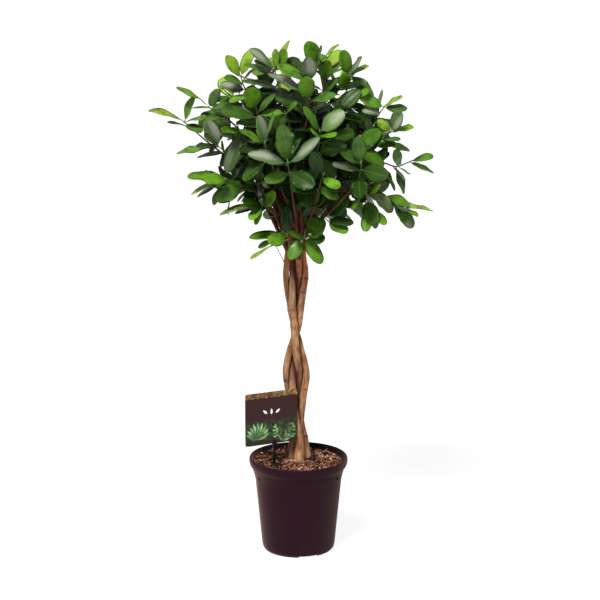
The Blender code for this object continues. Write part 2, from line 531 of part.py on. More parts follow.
def seen_leaf(spray, row, attempt, rng):
    """A leaf where the photograph shows it. Later attempts tip it nearer or farther, and roll it."""
    root_x, root_z, tip_x, tip_z, seen_width, kind = row
    line = resampled(spray.twig[:-1], 0, length_of(spray.twig[:-1]), LINE_POINTS)
    root = min(line, key=lambda p: (p - sighted(root_x, root_z, p.y)).length)
    seen_width *= (root.y - EYE.y) / -EYE.y / 1000
    flat = (sighted(tip_x, tip_z, root.y) - root).length
    shortest = YOUNG_SHORTEST if kind == "Y" else SEEN_SHORTEST
    wanted = max(flat * LENGTH_ROOM, shortest, min(LEAF_LENGTH, seen_width / SEEN_WIDTH_SHARE))
    nearer = math.sqrt(wanted**2 - flat**2) + DEPTH_STEP * ((attempt + 1) // 2) * (-1) ** attempt
    chord = sighted(tip_x, tip_z, root.y - nearer) - root
    arch = rng.uniform(*SEEN_ARCH)
    length = chord.length * (arch / 2) / math.sin(arch / 2)
    width = length * SEEN_WIDTH_SHARE
    roll = math.acos(min(1.0, seen_width / width)) + rng.uniform(-1, 1) * ROLL_STEP * attempt
    ahead, facing = chord.normalized(), (EYE - root).normalized()
    facing = (facing - ahead * facing.dot(ahead)).normalized()
    rising = ahead.cross(facing)
    rising *= math.copysign(1, rising.z)
    front = -1 if kind == "U" else 1
    face = facing * (front * math.cos(roll)) + rising * math.sin(roll)
    along = ahead * math.cos(arch / 2) + face * math.sin(arch / 2)
    up = face * math.cos(arch / 2) - ahead * math.sin(arch / 2)
    return Leaf(root, along.cross(up), along, up, length, width, arch)


def grow_seen_leaves(spray, obstacles, rng):
    for row in spray.rows:
        for attempt in range(SEEN_TRIES):
            if take_place(seen_leaf(spray, row, attempt, rng), spray, obstacles):
                break
        else:
            print(spray.name, "has no place for", row)


def take_place(leaf, spray, obstacles):
    """Gives a leaf to its spray if it is clear of everything else."""
    whole = blade_mesh(leaf, True, CLEARANCE, LEAF_THICK + 2 * CLEARANCE)
    blade = blade_mesh(leaf, False, CLEARANCE, LEAF_THICK + 2 * CLEARANCE)
    if not obstacles.clear(spray.name, whole, blade):
        return False
    spray.leaves.append(leaf)
    obstacles.add(spray.name, whole, blade)
    return True


def grow_leaves(spray, obstacles, rng):
    """Leaves wind up the twig, close together at its tip, each turned until it is clear of all else."""
    first_turn = rng.uniform(0, 2 * math.pi)
    for k, age in enumerate(ramp((1, 0), spray.rows)):
        share = 1 - (1 - BARE_SHARE) * age**CROWDING
        lean = TIP_LEAN + (FOOT_LEAN - TIP_LEAN) * age
        grown = math.sin(math.pi * min(1.0, OLD_TAPER[0] + OLD_TAPER[1] * age))
        size = LEAF_LENGTH * (YOUNG_SHARE + GROWN_SHARE * grown)
        for attempt in range(LEAF_TRIES):
            turn = first_turn + k * GOLDEN_ANGLE + rng.uniform(-TURN_JITTER, TURN_JITTER) * (1 + attempt)
            tilt = math.radians(lean + rng.uniform(-LEAN_JITTER, LEAN_JITTER) * (1 + attempt / 2))
            length = size * (1 - TRY_SHRINK * attempt) * rng.uniform(*LENGTH_SPREAD)
            leaf = leaf_at(spray, share, turn, tilt, length, rng)
            if take_place(leaf, spray, obstacles):
                break


def grow_head(lines):
    """Every spray with its leaves."""
    rng = random.Random(SEED)
    sprays = grow_branches(lines, rng)
    obstacles = Obstacles()
    for name, line in lines.items():
        tube = tube_mesh([p for p, _ in line], [r + CLEARANCE for _, r in line])
        obstacles.add(name, tube, tube)
    for spray in sprays:
        wood, twig = swollen(spray.wood, WOOD_RADII, CLEARANCE), swollen(spray.twig, TWIG_RADII, CLEARANCE)
        obstacles.add(spray.stem, wood, wood)
        obstacles.add(spray.name, twig, twig)
    for spray in sprays:
        if isinstance(spray.rows, int):
            grow_leaves(spray, obstacles, rng)
        else:
            grow_seen_leaves(spray, obstacles, rng)
    return sprays


def clear_scene():
    for obj in list(bpy.data.objects):
        bpy.data.objects.remove(obj, do_unlink=True)


def new_collection(name, hidden=False):
    collection = bpy.data.collections.new(name)
    bpy.context.scene.collection.children.link(collection)
    collection.hide_render = hidden
    return collection


def finish_of(name, colour, roughness):
    material = bpy.data.materials.new(name)
    material.use_nodes = True
    shader = material.node_tree.nodes["Principled BSDF"]
    shader.inputs["Base Color"].default_value = (*colour, 1)
    shader.inputs["Roughness"].default_value = roughness
    return material


def mesh_object(name, mesh, collection, material=None):
    obj = bpy.data.objects.new(name, mesh)
    collection.objects.link(obj)
    if material:
        mesh.materials.append(material)
    return obj


def mesh_from(name, points, faces):
    mesh = bpy.data.meshes.new(name)
    mesh.from_pydata(points, [], faces)
    return mesh


def solid_mesh(obj, weld=WELD):
    """The object's evaluated mesh as plain data in world space, its caps welded. The object is removed."""
    bpy.context.view_layer.update()
    evaluated = obj.evaluated_get(bpy.context.evaluated_depsgraph_get())
    mesh = bpy.data.meshes.new_from_object(evaluated)
    mesh.transform(obj.matrix_world)
    if weld:
        edit = bmesh.new()
        edit.from_mesh(mesh)
        bmesh.ops.remove_doubles(edit, verts=edit.verts, dist=weld)
        bmesh.ops.recalc_face_normals(edit, faces=edit.faces)
        edit.to_mesh(mesh)
        edit.free()
    bpy.data.objects.remove(obj, do_unlink=True)
    return mesh


def curve_object(name, points, collection, dimensions):
    """A curve of straight pieces with its ends filled, still without thickness."""
    curve = bpy.data.curves.new(name, "CURVE")
    curve.dimensions = dimensions
    spline = curve.splines.new("POLY")
    spline.points.add(len(points) - 1)
    for target, point in zip(spline.points, points):
        target.co = (*point, 1)
    obj = bpy.data.objects.new(name, curve)
    collection.objects.link(obj)
    return obj, spline


def tube_object(name, points, radii, resolution, collection):
    """A round bar along a line of points, each with its own radius, as a mesh object."""
    obj, spline = curve_object(name, points, collection, "3D")
    obj.data.bevel_depth = 1.0
    obj.data.bevel_resolution = resolution
    obj.data.use_fill_caps = True
    for target, radius in zip(spline.points, radii):
        target.radius = radius
    return mesh_object(name, solid_mesh(obj), collection)


def extruded(name, outline, thick, place, collection):
    """A flat outline with some thickness, stood upright: the outline's Y becomes up."""
    obj, spline = curve_object(name, [(x, y, 0) for x, y in outline], collection, "2D")
    obj.data.fill_mode = "BOTH"
    obj.data.extrude = thick / 2
    spline.use_cyclic_u = True
    obj.matrix_world = place @ Matrix.Rotation(math.pi / 2, 4, "X")
    return mesh_object(name, solid_mesh(obj), collection)


def turned(name, profile, sides, collection):
    """A solid of revolution about Z. The profile runs over the top, down the outside and to the axis."""
    mesh = mesh_from(name, [(r, 0, z) for r, z in profile], [])
    mesh.edges.add(len(profile) - 1)
    for k, edge in enumerate(mesh.edges):
        edge.vertices = (k, k + 1)
    obj = mesh_object(name, mesh, collection)
    screw = obj.modifiers.new("Turn", "SCREW")
    screw.steps = screw.render_steps = sides
    screw.use_merge_vertices = True
    screw.merge_threshold = 1e-5
    return mesh_object(name, solid_mesh(obj), collection)


def cut(obj, tool, cutters):
    """Takes a cutter, kept in the cutters' collection, away from an object."""
    tool = mesh_object(tool.name, tool, cutters)
    tool.hide_render = True
    tool.display_type = "WIRE"
    modifier = obj.modifiers.new("Cut", "BOOLEAN")
    modifier.operation = "DIFFERENCE"
    modifier.solver = "EXACT"
    modifier.object = tool


def fused(base, group):
    """Joins a collection's objects to the base in one Boolean union, which is applied, and removes them."""
    name, owner = base.name, base.users_collection[0]
    modifier = base.modifiers.new("Join", "BOOLEAN")
    modifier.operation = "UNION"
    modifier.solver = "MANIFOLD"
    modifier.operand_type = "COLLECTION"
    modifier.collection = group
    mesh = solid_mesh(base, weld=0)
    for obj in list(group.objects):
        bpy.data.objects.remove(obj, do_unlink=True)
    bpy.data.collections.remove(group)
    mesh.materials.clear()
    return mesh_object(name, mesh, owner)


def shade(obj, angle):
    """Smooth shading, with edges sharper than this many degrees kept sharp."""
    obj.data.shade_smooth()
    obj.data.set_sharp_from_angle(angle=math.radians(angle))


def inner_side():
    """The pot's inside, from the floor up to the flare."""
    (top_r, top_z), (foot_r, foot_z) = POT_SIDE[:2]
    slope = math.atan2(top_r - foot_r, top_z - foot_z)
    inset = POT_WALL / math.cos(slope)
    floor_r = foot_r - inset - math.tan(slope) * (foot_z - POT_FLOOR)
    return [(floor_r, POT_FLOOR)] + [(r - inset, z) for r, z in (POT_SIDE[0], POT_FLARE[1], POT_FLARE[0])]


def make_pot(collection, cutters, material):
    lip_r, lip_z = POT_LIP[0]
    recess_r = FOOT_INNER_R - FOOT_DRAFT
    under = [(FOOT_INNER_R, 0), (recess_r, FOOT_RECESS), (BOSS_R, FOOT_RECESS), (BOSS_R, 0), (0, 0)]
    inside = [(0, POT_FLOOR)] + inner_side() + [(lip_r - POT_LIP_INSET, lip_z - POT_LIP_INSET)]
    pot = turned("pot", inside + POT_LIP + POT_FLARE + POT_SIDE + under, POT_SIDES, collection)
    pot.data.materials.append(material)
    cut(pot, drain_cutter(), cutters)
    shade(pot, 35)


def drain_cutter():
    """Round holes through the floor, and notches through the foot between them."""
    edit = bmesh.new()
    foot_width = POT_SIDE[1][0] - FOOT_INNER_R
    for k in range(DRAIN_COUNT):
        turn = Matrix.Rotation(math.radians(NOTCH_TURN) + 2 * math.pi * k / DRAIN_COUNT, 4, "Z")
        half_turn = Matrix.Rotation(math.pi / DRAIN_COUNT, 4, "Z")
        hole = turn @ half_turn @ Matrix.Translation((DRAIN_RING_R, 0, POT_FLOOR / 2))
        bmesh.ops.create_cone(
            edit, cap_ends=True, segments=DRAIN_SEGMENTS, radius1=DRAIN_R, radius2=DRAIN_R,
            depth=3 * POT_FLOOR, matrix=hole,
        )
        notch = turn @ Matrix.Translation((FOOT_INNER_R + foot_width / 2, 0, 0))
        size = Matrix.Diagonal((2 * foot_width, NOTCH_WIDTH, 2 * NOTCH_HEIGHT, 1))
        bmesh.ops.create_cube(edit, size=1, matrix=notch @ size)
    mesh = bpy.data.meshes.new("drain_cutter")
    edit.to_mesh(mesh)
    edit.free()
    return mesh


def make_soil(lines, collection, cutters, material):
    """The potting mix: it fills the pot, its top is mounded and lumpy, and stems and stake stand in holes."""
    (low_r, low_z), (side_r, side_z), _, (flare_r, flare_z) = inner_side()
    top_share = min(1.0, (SOIL_EDGE_Z - side_z) / (flare_z - side_z))
    edge_r = side_r - GAP + (flare_r - side_r) * top_share * SOIL_FLARE_SHARE
    rim = [(edge_r, SOIL_EDGE_Z), (side_r - GAP, side_z), (low_r - GAP, low_z + GAP), (0, low_z + GAP)]
    top = [(0, SOIL_EDGE_Z)] + [(edge_r * share, SOIL_EDGE_Z) for share in reversed(SOIL_RINGS)]
    soil = turned("soil", top + rim, POT_SIDES, collection)
    for vertex in soil.data.vertices:
        radius = math.hypot(vertex.co.x, vertex.co.y)
        if vertex.co.z > SOIL_EDGE_Z - GAP and radius < edge_r - GAP:
            lump = SOIL_LUMP * noise.noise(vertex.co * SOIL_LUMPS_PER_M)
            vertex.co.z += SOIL_MOUND * (1 - (radius / edge_r) ** 2) + lump
    soil.data.materials.append(material)
    for name, line in lines.items():
        cut(soil, stem_hole(name, line, cutters), cutters)
    cut(soil, stake_hole(cutters), cutters)
    shade(soil, 50)


def mesh_only(obj):
    """The object's mesh. The object is removed."""
    mesh = obj.data
    bpy.data.objects.remove(obj, do_unlink=True)
    return mesh


def stem_hole(name, line, cutters):
    """A hole for a stem's buried part, a little wider and deeper than the stem."""
    count = 1 + next(k for k, (p, _) in enumerate(line) if p.z > SOIL_EDGE_Z + 2 * SOIL_MOUND)
    points = [p for p, _ in line[:count]]
    points.insert(0, points[0] - (points[1] - points[0]).normalized() * GAP)
    radii = [line[0][1] + GAP] + [r + GAP for _, r in line[:count]]
    return mesh_only(tube_object(f"{name}_hole", points, radii, 1, cutters))


def card_place(offset, z):
    """The card's own frame: X along it, -Y out of its face. The offset is along the card from the stake."""
    turn = Matrix.Rotation(CARD_TURN, 4, "Z")
    return Matrix.Translation((STAKE_FOOT.x, STAKE_FOOT.y, z)) @ turn @ Matrix.Translation((offset, 0, 0))


def behind_card(distance):
    return Matrix.Translation((0, distance, 0))


def taper(bottom_width, bottom, top_width, top):
    """A four-cornered outline with level ends."""
    low, high = bottom_width / 2, top_width / 2
    return [(-low, bottom), (low, bottom), (high, top), (-high, top)]


def stake_outline(grow=0.0):
    half, foot = STAKE_WIDTH / 2 + grow, STAKE_FOOT.z - grow
    shoulder = foot + STAKE_POINT
    return [(0, foot), (half, shoulder), (half, STAKE_TOP_Z), (-half, STAKE_TOP_Z), (-half, shoulder)]


def jaw_offset():
    """From the card's middle to a jaw's middle, in front of it or behind it."""
    return CARD_THICK / 2 + GAP + STAKE_THICK / 2


def stake_hole(cutters):
    place = card_place(0, 0) @ behind_card(jaw_offset())
    return mesh_only(extruded("stake_hole", stake_outline(GAP), STAKE_THICK + 2 * GAP, place, cutters))


def card_outline():
    """The card's outline, with rounded corners."""
    half, c = CARD_WIDTH / 2, CARD_CORNER
    corners = [(half - c, c), (half - c, CARD_HEIGHT - c), (c - half, CARD_HEIGHT - c), (c - half, c)]
    outline = []
    for quarter, (x, y) in enumerate(corners):
        for turn in ramp((90 * quarter - 90, 90 * quarter), CARD_CORNER_POINTS):
            outline.append((x + c * math.cos(math.radians(turn)), y + c * math.sin(math.radians(turn))))
    return outline


def make_label(collection, card_material, stake_material):
    """The card, and the stake behind it with a jaw in front that grips the card's bottom edge."""
    place = card_place(CARD_SHIFT, CARD_BOTTOM_Z)
    card = extruded("label_card", card_outline(), CARD_THICK, place, collection)
    card.data.materials.append(card_material)

    stake_place = card_place(0, 0) @ behind_card(jaw_offset())
    stake = extruded("label_stake", stake_outline(), STAKE_THICK, stake_place, collection)
    grip = new_collection("grip")
    grip_place = card_place(0, CARD_BOTTOM_Z)
    jaw_outline = taper(JAW_WIDTH, -JAW_HEIGHT, JAW_TOP_WIDTH, JAW_HEIGHT)
    extruded("jaw", jaw_outline, STAKE_THICK, grip_place @ behind_card(-jaw_offset()), grip)
    web_outline = taper(WEB_WIDTH, -WEB_DEPTH, WEB_WIDTH, -2 * GAP)
    extruded("web", web_outline, 2 * jaw_offset(), grip_place, grip)
    stake = fused(stake, grip)
    stake.data.materials.append(stake_material)


def make_stems(lines, sprays, collection, material):
    for name, line in lines.items():
        stem = tube_object(name, [p for p, _ in line], [r for _, r in line], 1, collection)
        branches = new_collection(f"{name}_branches")
        for spray in sprays:
            if spray.stem == name:
                radii = ramp(WOOD_RADII, len(spray.wood))
                tube_object(f"{spray.name}_wood", spray.wood, radii, 0, branches)
        stem = fused(stem, branches)
        stem.data.materials.append(material)
        shade(stem, 60)


def make_spray(spray, collection, material):
    radii = ramp(TWIG_RADII, len(spray.twig) - 1) + [BUD_RADIUS]
    twig = tube_object(spray.name, spray.twig, radii, 0, collection)
    leaves = new_collection(f"{spray.name}_leaves")
    for k, leaf in enumerate(spray.leaves):
        mesh_object(f"leaf_{k}", mesh_from("leaf", *blade_mesh(leaf)), leaves)
    twig = fused(twig, leaves)
    twig.data.materials.append(material)
    shade(twig, 40)


def main():
    clear_scene()
    plant = new_collection("potted_laurel_fig")
    cutters = new_collection("cutters", hidden=True)
    pot_plastic = finish_of("pot_plastic", (0.020, 0.011, 0.016), 0.55)
    potting_mix = finish_of("potting_mix", (0.090, 0.035, 0.018), 0.95)
    label_print = finish_of("label_print", (0.035, 0.014, 0.016), 0.35)
    stake_plastic = finish_of("stake_plastic", (0.010, 0.008, 0.010), 0.45)
    bark = finish_of("bark", (0.230, 0.105, 0.048), 0.80)
    leaf_green = finish_of("leaf_green", (0.020, 0.095, 0.012), 0.32)

    lines = braid()
    sprays = grow_head(lines)
    make_pot(plant, cutters, pot_plastic)
    make_soil(lines, plant, cutters, potting_mix)
    make_label(plant, label_print, stake_plastic)
    make_stems(lines, sprays, plant, bark)
    for spray in sprays:
        make_spray(spray, plant, leaf_green)
    print(len(sprays), "sprays,", sum(len(s.leaves) for s in sprays), "leaves")


main()
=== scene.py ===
"""The looks of a potted Indian laurel fig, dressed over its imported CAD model.

The leaves, branches and stems stand exactly where the CAD model has them: the same seeded growth runs here
again, and each leaf gets its real outline, fold, veins and stalk. Inner shoots, bark, chips, print and
light are added. Lengths are in metres, apart from the tables that name another unit.
"""

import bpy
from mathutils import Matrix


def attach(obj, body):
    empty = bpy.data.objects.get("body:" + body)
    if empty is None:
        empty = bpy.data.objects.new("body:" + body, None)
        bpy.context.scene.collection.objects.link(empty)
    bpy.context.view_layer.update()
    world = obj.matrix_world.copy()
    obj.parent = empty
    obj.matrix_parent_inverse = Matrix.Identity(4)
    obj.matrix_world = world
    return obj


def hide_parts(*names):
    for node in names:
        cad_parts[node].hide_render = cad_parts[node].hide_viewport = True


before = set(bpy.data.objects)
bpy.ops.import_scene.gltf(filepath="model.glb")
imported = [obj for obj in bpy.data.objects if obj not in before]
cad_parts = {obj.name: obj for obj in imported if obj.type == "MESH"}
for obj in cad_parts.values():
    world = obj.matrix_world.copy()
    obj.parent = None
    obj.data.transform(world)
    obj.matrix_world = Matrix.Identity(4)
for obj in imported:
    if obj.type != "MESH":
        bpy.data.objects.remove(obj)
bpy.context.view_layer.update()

import itertools
import math
import random
from collections import namedtuple

import bmesh
import bpy
from mathutils import Matrix, Vector, noise
from mathutils.bvhtree import BVHTree
from mathutils.kdtree import KDTree

# Sizes and growth, the same as in the CAD source.

UP = Vector((0, 0, 1))
GAP = 0.0003  # between pieces that stand in or rest on each other

# The pot: (radius, height) down its outside, then in under its foot.
POT_WALL = 0.0018
POT_LIP = [(0.0822, 0.1660), (0.0845, 0.1655), (0.0857, 0.1620), (0.0855, 0.1565), (0.0838, 0.1515)]
POT_FLARE = [(0.0806, 0.1465), (0.0775, 0.1370), (0.0752, 0.1270)]
POT_SIDE = [(0.0742, 0.1180), (0.0640, 0.0120), (0.0627, 0.0045), (0.0596, 0.0)]
POT_LIP_INSET = 0.0012
POT_FLOOR = 0.0050
FOOT_INNER_R = 0.0545
FOOT_RECESS = 0.0028
FOOT_DRAFT = 0.0015
BOSS_R = 0.0140  # the flat boss in the middle of the underside
DRAIN_COUNT, DRAIN_R, DRAIN_RING_R = 3, 0.0050, 0.0400
NOTCH_WIDTH, NOTCH_HEIGHT = 0.0340, 0.0025
NOTCH_TURN = -73  # degrees from +X to the first notch

# The potting mix.
SOIL_EDGE_Z = 0.1545
SOIL_MOUND = 0.0050
SOIL_LUMP, SOIL_LUMPS_PER_M = 0.0011, 90
SOIL_FLARE_SHARE = 0.9  # how much of the pot's flare the edge of the mix follows

# The care label on its stake. The stake's foot is in the mix, and the card is turned away from the front.
STAKE_FOOT = Vector((-0.0410, -0.0360, 0.0900))
CARD_WIDTH, CARD_HEIGHT, CARD_THICK = 0.0980, 0.0930, 0.0010
CARD_BOTTOM_Z = 0.2005
CARD_TURN = math.radians(25)
CARD_SHIFT = -0.0060  # from the stake to the card's middle, along the card
CARD_CORNER = 0.0030

# The four braided stems. Each row is (height, sideways, in depth) for a stem's heart.
STEM_COURSES = {
    "stem_1": [  # left at the top, right in the middle, the left foot below
        (0.085, -0.024, 0.014), (0.158, -0.010, 0.008), (0.190, -0.007, 0.006), (0.225, 0.002, 0.005),
        (0.265, 0.007, -0.004), (0.293, 0.0108, -0.0035), (0.318, 0.0130, -0.0015), (0.335, 0.0105, 0.001),
        (0.356, 0.0048, 0.0035), (0.390, -0.0055, 0.0105), (0.435, -0.0135, 0.006), (0.460, -0.018, 0.005),
        (0.483, -0.0209, 0.0025), (0.498, -0.0209, 0.000), (0.513, -0.0196, 0.000), (0.545, -0.0165, 0.004),
        (0.585, -0.014, 0.006),
    ],
    "stem_2": [  # at the back at the top, in front at the waist, the right foot below
        (0.085, 0.030, 0.006), (0.158, 0.014, 0.007), (0.190, 0.0085, 0.013), (0.225, 0.003, 0.018),
        (0.265, 0.0018, 0.009), (0.293, 0.0012, 0.003), (0.318, 0.0017, -0.0015), (0.335, -0.0010, -0.005),
        (0.356, -0.0039, -0.0095), (0.390, -0.0064, -0.013), (0.435, -0.0096, -0.0065),
        (0.460, -0.0104, -0.004), (0.483, -0.0101, 0.001), (0.498, -0.0101, 0.0035),
        (0.513, -0.0089, 0.008), (0.545, -0.007, 0.013), (0.585, -0.005, 0.015),
    ],
    "stem_3": [  # in front at the top, left in the middle, the front foot below
        (0.085, 0.002, -0.020), (0.158, 0.002, -0.006), (0.190, 0.001, -0.007), (0.225, -0.003, -0.008),
        (0.265, -0.0095, -0.007), (0.293, -0.0099, -0.0025), (0.318, -0.0099, 0.0015),
        (0.335, -0.0104, 0.006), (0.356, -0.0085, 0.013), (0.390, -0.006, 0.0225), (0.435, -0.001, 0.0125),
        (0.460, -0.0003, 0.007), (0.483, 0.0007, 0.002), (0.498, 0.0007, -0.0005), (0.513, 0.0008, -0.0035),
        (0.545, 0.000, -0.006), (0.585, -0.001, -0.007),
    ],
    "stem_4": [  # right at the top, left in the middle, the back foot below
        (0.085, 0.004, 0.036), (0.158, 0.002, 0.021), (0.190, -0.004, 0.018), (0.225, -0.010, 0.011),
        (0.265, -0.014, 0.006), (0.293, -0.0178, 0.006), (0.318, -0.0208, 0.001), (0.335, -0.0198, -0.001),
        (0.356, -0.0143, -0.001), (0.390, -0.003, -0.001), (0.435, 0.0043, -0.001), (0.460, 0.0075, -0.001),
        (0.483, 0.0115, -0.0005), (0.498, 0.0112, 0.002), (0.513, 0.009, 0.005), (0.545, 0.0065, 0.008),
        (0.585, 0.006, 0.008),
    ],
}
STEM_RADII = [
    (0.085, 0.0096), (0.158, 0.0088), (0.190, 0.0073), (0.225, 0.0061), (0.265, 0.0059), (0.293, 0.0056),
    (0.318, 0.0054), (0.335, 0.0054), (0.356, 0.0056), (0.390, 0.0058), (0.435, 0.0056), (0.460, 0.0053),
    (0.483, 0.0051), (0.505, 0.0050), (0.545, 0.0045), (0.585, 0.0034),
]
STEM_SECTIONS = 27
STEM_GAP = 0.0003
STEM_PRESSES = 120  # rounds of pressing the stems apart
STEM_REACH = 3  # sections up and down in which two stems can meet
STEM_QUARTERS = {"stem_1": 180, "stem_2": 90, "stem_3": -90, "stem_4": 0}  # degrees to the side it feeds

# The head. Twig tips lie on a dome round HEAD_MIDDLE, and the leaves reach past them.
SEED = 11
HEAD_MIDDLE = Vector((0.004, 0.004, 0.702))
HEAD_REACH = Vector((0.140, 0.150, 0.145))
HEAD_JITTER, TURN_JITTER = 0.06, 0.12
SPRAY_COUNT = 18
FACING, INNER_REACH = -0.50, 0.62  # sprays that face the front this much stay behind the seen shoots
LOWEST_POLAR = math.radians(117)
TRUNK_TOP = Vector((-0.003, 0.006, 0.545))
FIRST_FORK_Z, LAST_FORK_Z, FORK_JITTER = 0.515, 0.578, 0.15
TIP_LIFT, TIP_DROOP = 0.50, 0.45  # how far twig tips bend up at the top of the dome, and down at its rim
FORK_RISE, FORK_LEAN, TIP_HANDLE = 0.34, 0.16, 0.36  # a branch's bends, as shares of its reach
WOOD_RADII, WOOD_POINTS = (0.0026, 0.0016), 5
TWIG_RADII, TWIG_POINTS = (0.0016, 0.0009), 4
TWIG_LENGTH, TWIG_SHARE = 0.068, 0.6
BUD_LENGTH = 0.009
LINE_POINTS = 24
LIMB_TRIES, LIMB_ROOM = 40, 0.0006  # how often a branch is moved to keep this clear of the others

